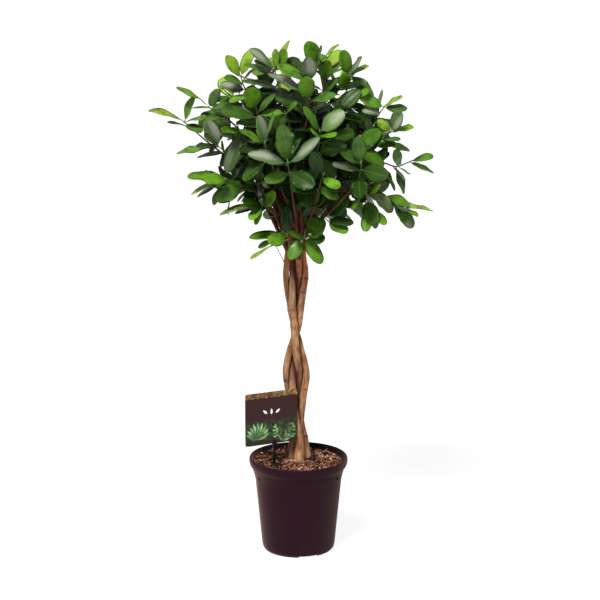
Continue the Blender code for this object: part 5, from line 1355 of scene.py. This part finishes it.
def creases(points, others):
    """How near each point is to the other stems, (heart point, radius): 1 where they touch, 0 clear."""
    tree = KDTree(len(others))
    for n, (heart, _) in enumerate(others):
        tree.insert(heart, n)
    tree.balance()
    shares = []
    for point in points:
        _, n, distance = tree.find(point)
        shares.append(min(1.0, max(0.0, 1 - (distance - others[n][1]) / CREASE_REACH)))
    return shares


def inwardness(points, hearts):
    """How deep in the braid each point lies: 0 on its outside, 1 on its middle line."""
    levels = {}
    for row in (row for line in hearts.values() for row in line):
        levels.setdefault(int(row[0].z / LEVEL), []).append(row)
    spans = {}
    for key, rows in levels.items():
        middle = sum((p.xy for p, _ in rows), Vector((0, 0))) / len(rows)
        spans[key] = middle, max((p.xy - middle).length + r for p, r in rows)
    shares = []
    for point in points:
        middle, reach = spans.get(int(point.z / LEVEL), (point.xy * 0, 1e-6))
        shares.append(max(0.0, 1 - (point.xy - middle).length / reach))
    return shares


def make_stems(lines, sprays, bark, thin_bark, rng):
    """Each stem in its bark, with painted shade where it presses on another and deep inside the braid, and
    with its branches.
    """
    hearts = {}
    for name, line in lines.items():
        heart = smooth_line([p for p, _ in line], STEM_RINGS)
        hearts[name] = [(p, between(STEM_RADII, p.z)[0] + BARK_SWELL) for p in heart]
    for name in lines:
        piece = Piece()
        heart, radii = zip(*hearts[name])
        knots = [(rng.uniform(0.12, 0.97), rng.uniform(0, FULL_TURN), rng.uniform(0.7, 1.3))
                 for _ in range(STEM_KNOTS)]
        add_limb(piece, heart, radii, STEM_SIDES, rng, knots, 0.035, FRONT_SCARS)
        others = [row for other in hearts if other != name for row in hearts[other]]
        inward = inwardness(piece.points, hearts)
        touching = creases(piece.points, others)
        # Painted shade where strands touch and deep inside the braid.
        shade_share = [max(near, min(0.85, (deep - 0.46) / 0.42)) for near, deep in zip(touching, inward)]
        thick = len(piece.faces)
        for spray in sprays:
            if spray.stem == name:
                add_branch(piece, spray, rng)
        piece.values["crease"] = shade_share + [0.0] * (len(piece.points) - len(shade_share))
        obj = piece.build(f"{name}_bark", [bark, thin_bark], "bark", name)
        for polygon in obj.data.polygons[thick:]:
            polygon.material_index = 1


def add_branch(piece, spray, rng):
    wood = smooth_line(spray.wood, 16)
    total = length_of(wood)
    knots = [(rng.uniform(0.1, 0.95), rng.uniform(0, FULL_TURN), 0.5)
             for _ in range(int(total / BRANCH_KNOT_STEP))]
    add_limb(piece, wood, ramp(WOOD_RADII, len(wood)), 8, rng, knots)


def make_inner_branches(name, sprays, thin_bark, rng):
    piece = Piece()
    for spray in sprays:
        wood = smooth_line(spray.wood, 14)
        add_limb(piece, wood, ramp(INNER_WOOD_RADII, len(wood)), 7, rng)
    piece.build(name, [thin_bark], "bark")


def inner_sprays(lines, rng):
    """Shoots inside the head, shorter and between the others, each with its own branch from a stem."""
    sprays = []
    for k in range(INNER_COUNT):
        polar = math.acos(1 - 1.40 * (k + 0.5) / INNER_COUNT)
        azimuth = (k + 0.37) * GOLDEN_ANGLE + rng.uniform(-0.2, 0.2)
        level = math.sin(polar)
        out = Vector((level * math.cos(azimuth), level * math.sin(azimuth), math.cos(polar)))
        reach = rng.uniform(0.50, 0.92)
        tip = HEAD_MIDDLE + Vector(a * b for a, b in zip(out, HEAD_REACH)) * reach
        stem = nearest_stem(azimuth)
        fork = rng.uniform(0.53, 0.575)
        root = next(p for p, _ in lines[stem] if p.z >= fork)
        ahead = (out + UP * rng.uniform(-0.2, 0.6)).normalized()
        distance = (tip - root).length
        away = Vector((tip.x - TRUNK_TOP.x, tip.y - TRUNK_TOP.y, 0)).normalized()
        handle = root + UP * (0.34 * distance) + away * (0.14 * distance)
        line = bezier(root, handle, tip - ahead * (0.36 * distance), tip, LINE_POINTS)
        total = length_of(line)
        start = total - min(0.060, 0.6 * total)
        wood = resampled(line, 0, start, WOOD_POINTS)
        twig = resampled(line, start, total, TWIG_POINTS)
        twig.append(tip + ahead * BUD_LENGTH)
        sprays.append(Spray(f"inner_{k + 1:02d}", stem, wood, twig, INNER_LEAVES, []))
    return sprays


def grow_inside(lines, sprays):
    """The low, inner and back shoots, with leaves that keep clear of the outer ones."""
    rng = random.Random(INNER_SEED)
    obstacles = Obstacles()
    for spray in sprays:
        for leaf in spray.leaves:
            obstacles.add(spray.name, blade_mesh(leaf), blade_mesh(leaf, False))
    low = []
    for target in seen_targets(LOW_SHOOTS):
        wood, twig = limb_lines(target, lines[target.stem], rng, 0)
        low.append(Spray(f"low_{len(low) + 1}", target.stem, wood, twig, target.rows, []))
        grow_seen_leaves(low[-1], obstacles, rng)
    inside = inner_sprays(lines, rng)
    for spray in inside:
        grow_leaves(spray, obstacles, rng)
    return low, inside, grow_back(lines, obstacles)


def grow_back(lines, obstacles):
    """The guessed shoots under the head's back and sides, which nearly hide the fork from there."""
    rng = random.Random(BACK_SEED)
    back = []
    for degrees, reach, height in BACK_SHOOTS:
        azimuth = math.radians(degrees)
        out = Vector((math.cos(azimuth), math.sin(azimuth), 0))
        tip = Vector((TRUNK_TOP.x, TRUNK_TOP.y, height)) + out * reach
        target = Target(nearest_stem(azimuth), tip, (out - UP * 0.15).normalized(), None, INNER_LEAVES)
        wood, twig = limb_lines(target, lines[target.stem], rng, 0)
        back.append(Spray(f"back_{len(back) + 1:02d}", target.stem, wood, twig, INNER_LEAVES, []))
        grow_leaves(back[-1], obstacles, rng)
    return back


def seen_place(point):
    """The inverse of sighted: where the line of sight through a point meets the plane y = 0, in metres."""
    place = EYE + (point - EYE) * (-EYE.y / (point.y - EYE.y))
    return Vector((place.x, place.z))


def make_bare_shoot(lines, sprays, material):
    """A thin bare shoot from the left side of the braid up to the leaves that hang there."""
    foot_x, foot_z = BARE_SHOOT[0][0] / 1000, BARE_SHOOT[0][1] / 1000

    def apart(line):
        return min((p.x - foot_x) ** 2 + (p.z - foot_z) ** 2 for p, _ in line)

    stem = min(lines.values(), key=apart)
    root = min((p for p, _ in stem), key=lambda p: abs(p.z - foot_z))
    top = Vector((BARE_SHOOT[-1][0] / 1000, BARE_SHOOT[-1][1] / 1000))

    def from_top(leaf):
        return (seen_place(leaf.root + leaf.along * leaf.length * 0.4) - top).length

    reached = min((leaf for spray in sprays for leaf in spray.leaves), key=from_top)
    depths = ramp((root.y, reached.root.y), len(BARE_SHOOT))
    line = [root.copy()] + [sighted(x, z, depth) for (x, z), depth in zip(BARE_SHOOT, depths)]
    piece = Piece()
    add_tube(piece, smooth_line(line, 14), ramp(BARE_RADII, 14), 6, 0, (0.0, 0.0, 0.0))
    piece.build("bare_shoot", [material], "bark")


def make_figs(sprays):
    """Small pale figs among the leaf stalks of the lowest shoot in front."""
    piece = Piece()
    hearts = [leaf.root + leaf.along * (leaf.length * share)
              for spray in sprays for leaf in spray.leaves for share in FIG_SHARES]
    for x, z in FIGS:
        place = Vector((x / 1000, z / 1000))
        near = [p for p in hearts if (seen_place(p) - place).length < FIG_NEAR]
        if near:
            carrier = min(near, key=lambda p: p.y)
        else:
            carrier = min(hearts, key=lambda p: (seen_place(p) - place).length)
        out = sighted(x, z, carrier.y - 0.0012) - carrier
        add_fig(piece, carrier + out.normalized() * min(out.length, FIG_OUT))
    piece.build("figs", [speckled_material("young_fig")], "leaf_green")


def add_fig(piece, middle):
    points = []
    for ring in range(1, FIG_RINGS + 1):
        polar = math.pi * ring / (FIG_RINGS + 1)
        for n in range(FIG_SIDES):
            turn = FULL_TURN * n / FIG_SIDES
            out = (math.sin(polar) * math.cos(turn), math.sin(polar) * math.sin(turn), -math.cos(polar))
            points.append(middle + Vector(out) * FIG_RADIUS)
    faces = wall(len(points), FIG_SIDES) + caps(len(points), FIG_SIDES)
    piece.add(points + [middle - UP * FIG_RADIUS, middle + UP * FIG_RADIUS * 1.1], faces)


def turned_piece(name, profile, sides, material):
    """A closed turned shell about Z: the profile starts and ends on the axis."""
    piece = Piece()
    rings = [row for row in profile if row[0] > 0]
    points = [Vector((0, 0, profile[0][1])), Vector((0, 0, profile[-1][1]))]
    for r, z in rings:
        for n in range(sides):
            turn = FULL_TURN * (n + 0.5) / sides
            points.append(Vector((r * math.cos(turn), r * math.sin(turn), z)))
    faces = []
    last = 2 + (len(rings) - 1) * sides
    for n in range(sides):
        m = (n + 1) % sides
        faces += [(0, 2 + n, 2 + m), (1, last + m, last + n)]
        faces += [(a + n, a + sides + n, a + sides + m, a + m) for a in range(2, last, sides)]
    piece.add(points, faces)
    return piece.build(name, [material])


def rounded(profile, steps):
    """A profile with more points, on a smooth curve through its own."""
    line = smooth_line([Vector((r, 0, z)) for r, z in profile], (len(profile) - 1) * steps + 1)
    return [(p.x, p.z) for p in line]


def inner_side():
    """The pot's inside, from the floor up to the flare."""
    (top_r, top_z), (foot_r, foot_z) = POT_SIDE[:2]
    slope = math.atan2(top_r - foot_r, top_z - foot_z)
    inset = POT_WALL / math.cos(slope)
    floor_r = foot_r - inset - math.tan(slope) * (foot_z - POT_FLOOR)
    return [(floor_r, POT_FLOOR)] + [(r - inset, z) for r, z in (POT_SIDE[0], POT_FLARE[1], POT_FLARE[0])]


def make_pot(material):
    """The pot with a round lip, and with the same holes and notches as the CAD pot."""
    lip_r, lip_z = POT_LIP[0]
    collar = rounded(POT_LIP + POT_FLARE + POT_SIDE[:1], 5)
    foot = rounded(POT_SIDE[1:], 4)
    side = list(zip(*(ramp(ends, 12)[1:-1] for ends in zip(*POT_SIDE[:2]))))
    recess_r = FOOT_INNER_R - FOOT_DRAFT
    under = [(FOOT_INNER_R, 0), (recess_r, FOOT_RECESS), (BOSS_R, FOOT_RECESS), (BOSS_R, 0), (0, 0)]
    rim = [(lip_r - POT_LIP_INSET, lip_z - POT_LIP_INSET), (lip_r - 0.0004, lip_z - 0.0003)]
    profile = [(0, POT_FLOOR)] + inner_side() + rim + collar + side + foot + under
    pot = turned_piece("pot_body", profile, POT_ROUND, material)
    cut(pot, drain_cutter())
    pot.data.shade_smooth()
    pot.data.set_sharp_from_angle(angle=math.radians(SHARP_ANGLE))
    settle(pot, "pot")


def cut(obj, cutter):
    """Takes the cutter's shape out of the object's, for good, and removes the cutter."""
    modifier = obj.modifiers.new("Drain", "BOOLEAN")
    modifier.operation = "DIFFERENCE"
    modifier.solver = "EXACT"
    modifier.object = cutter
    bpy.context.view_layer.update()
    evaluated = obj.evaluated_get(bpy.context.evaluated_depsgraph_get())
    mesh = bpy.data.meshes.new_from_object(evaluated)
    obj.modifiers.clear()
    obj.data = mesh
    bpy.data.objects.remove(cutter)


def drain_cutter():
    """Round holes through the floor and notches through the foot between them, as in the CAD source."""
    edit = bmesh.new()
    foot_width = POT_SIDE[1][0] - FOOT_INNER_R
    for k in range(DRAIN_COUNT):
        turn = Matrix.Rotation(math.radians(NOTCH_TURN) + FULL_TURN * k / DRAIN_COUNT, 4, "Z")
        half_turn = Matrix.Rotation(math.pi / DRAIN_COUNT, 4, "Z")
        hole = turn @ half_turn @ Matrix.Translation((DRAIN_RING_R, 0, POT_FLOOR / 2))
        bmesh.ops.create_cone(edit, cap_ends=True, segments=HOLE_SIDES, radius1=DRAIN_R, radius2=DRAIN_R,
                              depth=3 * POT_FLOOR, matrix=hole)
        notch = turn @ Matrix.Translation((FOOT_INNER_R + foot_width / 2, 0, 0))
        size = Matrix.Diagonal((2 * foot_width, NOTCH_WIDTH, 2 * NOTCH_HEIGHT, 1))
        bmesh.ops.create_cube(edit, size=1, matrix=notch @ size)
    mesh = bpy.data.meshes.new("drain_cutter")
    edit.to_mesh(mesh)
    edit.free()
    return linked("drain_cutter", mesh)


def make_lugs(material):
    """Short moulded ridges where the pot's collar begins, half sunk in the wall."""
    piece = Piece()
    for degrees in LUG_TURNS:
        place = Matrix.Rotation(math.radians(degrees), 4, "Z")
        points = [place @ Vector((r + LUG_SWELL * swell * swells, y, z))
                  for y, swell in LUG_ENDS for r, z, swells in LUG_SECTION]
        sides = [quad[::-1] for quad in wall(16, 4)]
        piece.add(points, [(0, 1, 2, 3), (15, 14, 13, 12)] + sides)
    piece.build("pot_lugs", [material], "pot_plastic", smooth=False)


def mix_height(x, y, edge_r):
    """The height of the potting mix at a place, as in the CAD source."""
    place = Vector((x, y, SOIL_EDGE_Z))
    share = min(1.0, math.hypot(x, y) / edge_r)
    return SOIL_EDGE_Z + SOIL_MOUND * (1 - share**2) + SOIL_LUMP * noise.noise(place * SOIL_LUMPS_PER_M)


def soil_edge():
    (side_r, side_z), _, (flare_r, flare_z) = inner_side()[1:]
    top_share = min(1.0, (SOIL_EDGE_Z - side_z) / (flare_z - side_z))
    return side_r - GAP + (flare_r - side_r) * top_share * SOIL_FLARE_SHARE


def make_chips(lines, material, rng):
    """Bark chips and coir lie over the mix, clear of the stems and the stake."""
    edge_r = soil_edge()
    feet = [(p.x, p.y, r) for line in lines.values() for p, r in line
            if FOOT_BAND[0] < p.z - SOIL_EDGE_Z < FOOT_BAND[1]]
    feet.append((STAKE_FOOT.x, STAKE_FOOT.y, STAKE_ROOM))
    piece = Piece()
    made = 0
    while made < CHIP_COUNT:
        spread = math.sqrt(rng.random()) * (edge_r - CHIP_EDGE)
        turn = rng.uniform(0, FULL_TURN)
        x, y = spread * math.cos(turn), spread * math.sin(turn)
        size = rng.uniform(*CHIP_SIZES) * (BIG_CHIP if rng.random() < BIG_CHIP_SHARE else 1.0)
        if spread + size * 0.8 > edge_r + CHIP_OVER:
            continue
        if any(math.hypot(x - fx, y - fy) < fr + size * 0.35 for fx, fy, fr in feet):
            continue
        add_chip(piece, Vector((x, y, mix_height(x, y, edge_r))), size, made, rng)
        made += 1
    for lump_x, lump_y, reach in DARK_LUMPS:
        for _ in range(LUMP_CHIPS):
            x, y = rng.gauss(lump_x, reach / 2), rng.gauss(lump_y, reach / 2)
            share = math.hypot(x - lump_x, y - lump_y) / reach
            if math.hypot(x, y) > edge_r - LUMP_EDGE or share > 1.3:
                continue
            place = Vector((x, y, mix_height(x, y, edge_r) + LUMP_RISE * max(0.0, 1 - share)))
            add_chip(piece, place, rng.uniform(*LUMP_SIZES), CHIP_COUNT, rng, dark=True)
    piece.build("bark_chips", [material], "potting_mix", smooth=False)


def add_chip(piece, place, size, number, rng, dark=False):
    """A ragged flake, mostly flat on the mix, some tipped up."""
    corners = rng.choice((5, 6, 7))
    long_way, thick = rng.uniform(1.0, 2.6), size * rng.uniform(0.22, 0.50)
    tilt = Matrix.Rotation(rng.gauss(0, 0.42), 3, "X") @ Matrix.Rotation(rng.gauss(0, 0.42), 3, "Y")
    frame_turn = Matrix.Rotation(rng.uniform(0, FULL_TURN), 3, "Z") @ tilt
    layer = CHIP_LAYERS * (number / CHIP_COUNT) ** 2 * rng.random()
    middle = place + UP * (thick * 0.3 + layer)
    bend = rng.uniform(-0.3, 0.3)
    points = []
    for lift in (-0.5, 0.5):
        for n in range(corners):
            turn = FULL_TURN * n / corners
            reach = size * rng.uniform(0.70, 1.10)
            a, b = reach * long_way * math.cos(turn), reach * 0.62 * math.sin(turn)
            rise = thick * lift * rng.uniform(0.7, 1.2) + bend * a * a / (size * long_way)
            points.append(middle + frame_turn @ Vector((a, b, rise)))
    faces = [tuple(range(corners - 1, -1, -1)), tuple(range(corners, 2 * corners))]
    faces += wall(2 * corners, corners)
    tone = min(1.0, max(0.0, rng.gauss(0.56, 0.28)))
    if rng.random() < 0.12 or dark:
        tone = rng.uniform(0.0, 0.10)
    piece.add(points, faces, 0, {"chip": tone})


def make_fibres(material, rng):
    """Thin curved strands of coir among the chips."""
    edge_r = soil_edge()
    piece = Piece()
    for _ in range(FIBRE_COUNT):
        spread = math.sqrt(rng.random()) * (edge_r - FIBRE_EDGE)
        turn = rng.uniform(0, FULL_TURN)
        at = Vector((spread * math.cos(turn), spread * math.sin(turn), 0))
        way = rng.uniform(0, FULL_TURN)
        line = []
        for k in range(len(FIBRE_RADII)):
            way += rng.uniform(-0.5, 0.5)
            at += Vector((math.cos(way), math.sin(way), 0)) * FIBRE_STEP
            rise = FIBRE_BEND * math.sin(k * 0.63 * rng.uniform(0.8, 1.2))
            line.append(Vector((at.x, at.y, mix_height(at.x, at.y, edge_r) + FIBRE_LIFT + rise)))
        rings, faces = tube_mesh(line, FIBRE_RADII, 4)
        piece.add(rings, faces, 0, {"chip": rng.uniform(0.5, 0.9)})
    piece.build("coir_fibres", [material], "potting_mix")


def card_frame():
    """The card's own frame, at the middle of its bottom edge: X along it, -Y out of its face."""
    turn = Matrix.Rotation(CARD_TURN, 4, "Z")
    foot = Matrix.Translation((STAKE_FOOT.x, STAKE_FOOT.y, CARD_BOTTOM_Z))
    return foot @ turn @ Matrix.Translation((CARD_SHIFT, 0, 0))


def make_card(material):
    """The card with rounded corners, and a UV map over its face."""
    place = card_frame()
    count = CARD_CELLS + 1
    layer = count * count
    points, uv = [], []
    for face in (-0.5, 0.5):
        for row in range(count):
            for column in range(count):
                x, y = column / CARD_CELLS, row / CARD_CELLS
                px, py = corner_pull(x, y)
                points.append(place @ Vector((px, CARD_THICK * face, py)))
                uv.append((x, y))
    faces = sheet(count, count)
    faces += [tuple(layer + k for k in reversed(quad)) for quad in faces]
    border = list(range(CARD_CELLS)) + [CARD_CELLS + r * count for r in range(CARD_CELLS)]
    border += [layer - 1 - k for k in border]
    faces += [(b, a, layer + a, layer + b) for a, b in zip(border, border[1:] + border[:1])]
    piece = Piece()
    piece.add(points, faces, 0, {}, {"card": [uv[k] for face in faces for k in face]})
    piece.build("label_card_printed", [material], "label_print", "label_card", smooth=False)


def corner_pull(x, y):
    """Card coordinates in metres, with the grid pulled in at the rounded corners."""
    px, py = (x - 0.5) * CARD_WIDTH, y * CARD_HEIGHT
    half, c = CARD_WIDTH / 2, CARD_CORNER
    cx = math.copysign(half - c, px)
    cy = c if py < CARD_HEIGHT / 2 else CARD_HEIGHT - c
    dx, dy = px - cx, py - cy
    outside_x, outside_y = dx * cx > 0, (dy < 0) == (py < CARD_HEIGHT / 2)
    if outside_x and outside_y and math.hypot(dx, dy) > c:
        shrink = c / math.hypot(dx, dy)
        return cx + dx * shrink, cy + dy * shrink
    return px, py


def add_motif(piece, kind, middle, length, width, lean):
    """A printed leaf: a flat almond shape on the card's face. The middle is in metres on the card."""
    place = card_frame()
    points, uv = [], []
    last = MOTIF_ROWS - 1
    for k in range(MOTIF_ROWS):
        u = k / last
        half = width / 2 * math.sin(math.pi * u ** 0.85) ** 0.8 if 0 < k < last else 0.0002
        for t in (-1, 0, 1):
            x, y = half * t, (u - 0.5) * length
            px = middle[0] + x * math.cos(lean) + y * math.sin(lean)
            py = middle[1] - x * math.sin(lean) + y * math.cos(lean)
            points.append(place @ Vector((px, -CARD_THICK / 2 - MOTIF_LIFT, py)))
            uv.append((u, (t + 1) / 2))
    faces = sheet(3, MOTIF_ROWS)
    piece.add(points, faces, kind, {}, {"card": [uv[k] for face in faces for k in face]})


def make_motifs(rng):
    """Generic printed foliage on the card: a fan of plain leaves, ferny tufts and three pale blooms."""
    inks = [
        print_material("print_green", (0.040, 0.110, 0.030), (0.130, 0.260, 0.090)),
        print_material("print_pale", (0.090, 0.190, 0.060), (0.260, 0.400, 0.190)),
        print_material("print_dark", (0.015, 0.050, 0.015), (0.050, 0.120, 0.040)),
        print_material("print_white", (0.550, 0.560, 0.540), (0.750, 0.760, 0.740)),
    ]
    piece = Piece()
    for k in range(FAN_LEAVES):
        off_middle = k - FAN_LEAVES // 2
        lean = math.radians(FAN_STEP * off_middle)
        length = FAN_LENGTH - 0.0009 * abs(off_middle) ** 1.5
        out = length * 0.55
        middle = (FAN_FOOT[0] + math.sin(lean) * out, FAN_FOOT[1] + math.cos(lean) * out)
        add_motif(piece, k % 2, middle, length, FAN_WIDTH, lean)
    for k in range(TUFT_LEAVES):
        x = rng.uniform(*TUFTS_X)
        y = rng.uniform(*TUFTS_Y) * (0.75 + 0.25 * math.sin(x * 190))
        length, width = rng.uniform(*TUFT_LENGTHS), rng.uniform(*TUFT_WIDTHS)
        add_motif(piece, k % 3, (x, y), length, width, rng.uniform(-1.6, 1.6))
    for k in range(3):
        add_motif(piece, 3, (BLOOM_X + BLOOM_STEP * k, BLOOM_Y), *BLOOM_SIZE, math.radians(50 * (k - 1)))
    piece.build("label_motifs", inks, "label_print", smooth=False)


def make_studio():
    floor = Piece()
    corners = ((-1, -1), (1, -1), (1, 1), (-1, 1))
    floor.add([Vector((x * FLOOR_REACH, y * FLOOR_REACH, 0)) for x, y in corners], [(0, 1, 2, 3)])
    floor.build("floor", [floor_material()])
    for name, direction, strength, angle, colour in LAMPS:
        data = bpy.data.lights.new(name, "SUN")
        data.energy, data.angle, data.color = strength, math.radians(angle), colour
        lamp = linked(name, data)
        lamp.rotation_mode = "QUATERNION"
        lamp.rotation_quaternion = Vector(direction).to_track_quat("Z", "Y")
    world = bpy.data.worlds.new("studio")
    world.use_nodes = True
    background = world.node_tree.nodes["Background"]
    background.inputs["Color"].default_value = (1.0, 1.0, 1.0, 1)
    background.inputs["Strength"].default_value = WORLD_STRENGTH
    bpy.context.scene.world = world
    bpy.context.scene.view_settings.view_transform = "Standard"
    bpy.context.scene.view_settings.look = "None"


def make_camera():
    data = bpy.data.cameras.new("camera")
    data.sensor_width, data.lens = CAMERA_SENSOR, CAMERA_LENS
    data.clip_start, data.clip_end = 0.05, 200
    camera = linked("camera", data)
    camera.location = EYE
    camera.rotation_euler = (math.radians(90 - CAMERA_TILT), 0, 0)
    bpy.context.scene.camera = camera


def dress_node(name, material):
    """A CAD mesh that stays in sight gets a material of the scene's."""
    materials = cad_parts[name].data.materials
    materials.clear()
    materials.append(material)


def main():
    rng = random.Random(2)
    make_camera()
    make_studio()
    lines = braid()
    sprays = grow_head(lines)
    low, inside, back = grow_inside(lines, sprays)
    bark = bark_material("stem_bark")
    thin_bark = bark_material("branch_bark", True)
    make_stems(lines, sprays, bark, thin_bark, rng)
    make_inner_branches("inner_branches", low + inside, thin_bark, rng)
    make_inner_branches("back_branches", back, thin_bark, random.Random(BACK_SEED))
    woody = [stalk_material(), twig_material()]
    make_bare_shoot(lines, sprays, woody[1])
    make_figs(sprays)
    greens = [leaf_material("leaf_face", 0.18), leaf_material("leaf_back", 0.12, True), *woody]
    shady = [leaf_material("shaded_leaf_face", 0.07), leaf_material("shaded_leaf_back", 0.05, True), *woody]
    for spray in sprays:
        make_foliage(f"foliage_{spray.name[-2:]}", [spray], spray.name, greens, rng)
    make_foliage("low_foliage", low, None, greens, rng)
    for k in range(0, len(inside), INNER_PER_PIECE):
        name = f"inner_foliage_{k // INNER_PER_PIECE + 1}"
        make_foliage(name, inside[k:k + INNER_PER_PIECE], None, shady, rng, inside=True)
    make_foliage("back_foliage", back, None, greens, random.Random(BACK_SEED))
    plastic, chips = pot_material(), chip_material()
    make_pot(plastic)
    make_lugs(plastic)
    make_chips(lines, chips, rng)
    make_fibres(chips, rng)
    dress_node("soil", speckled_material("potting_mix_fines"))
    make_card(card_material())
    make_motifs(rng)
    dress_node("label_stake", speckled_material("stake_plastic_black"))


main()
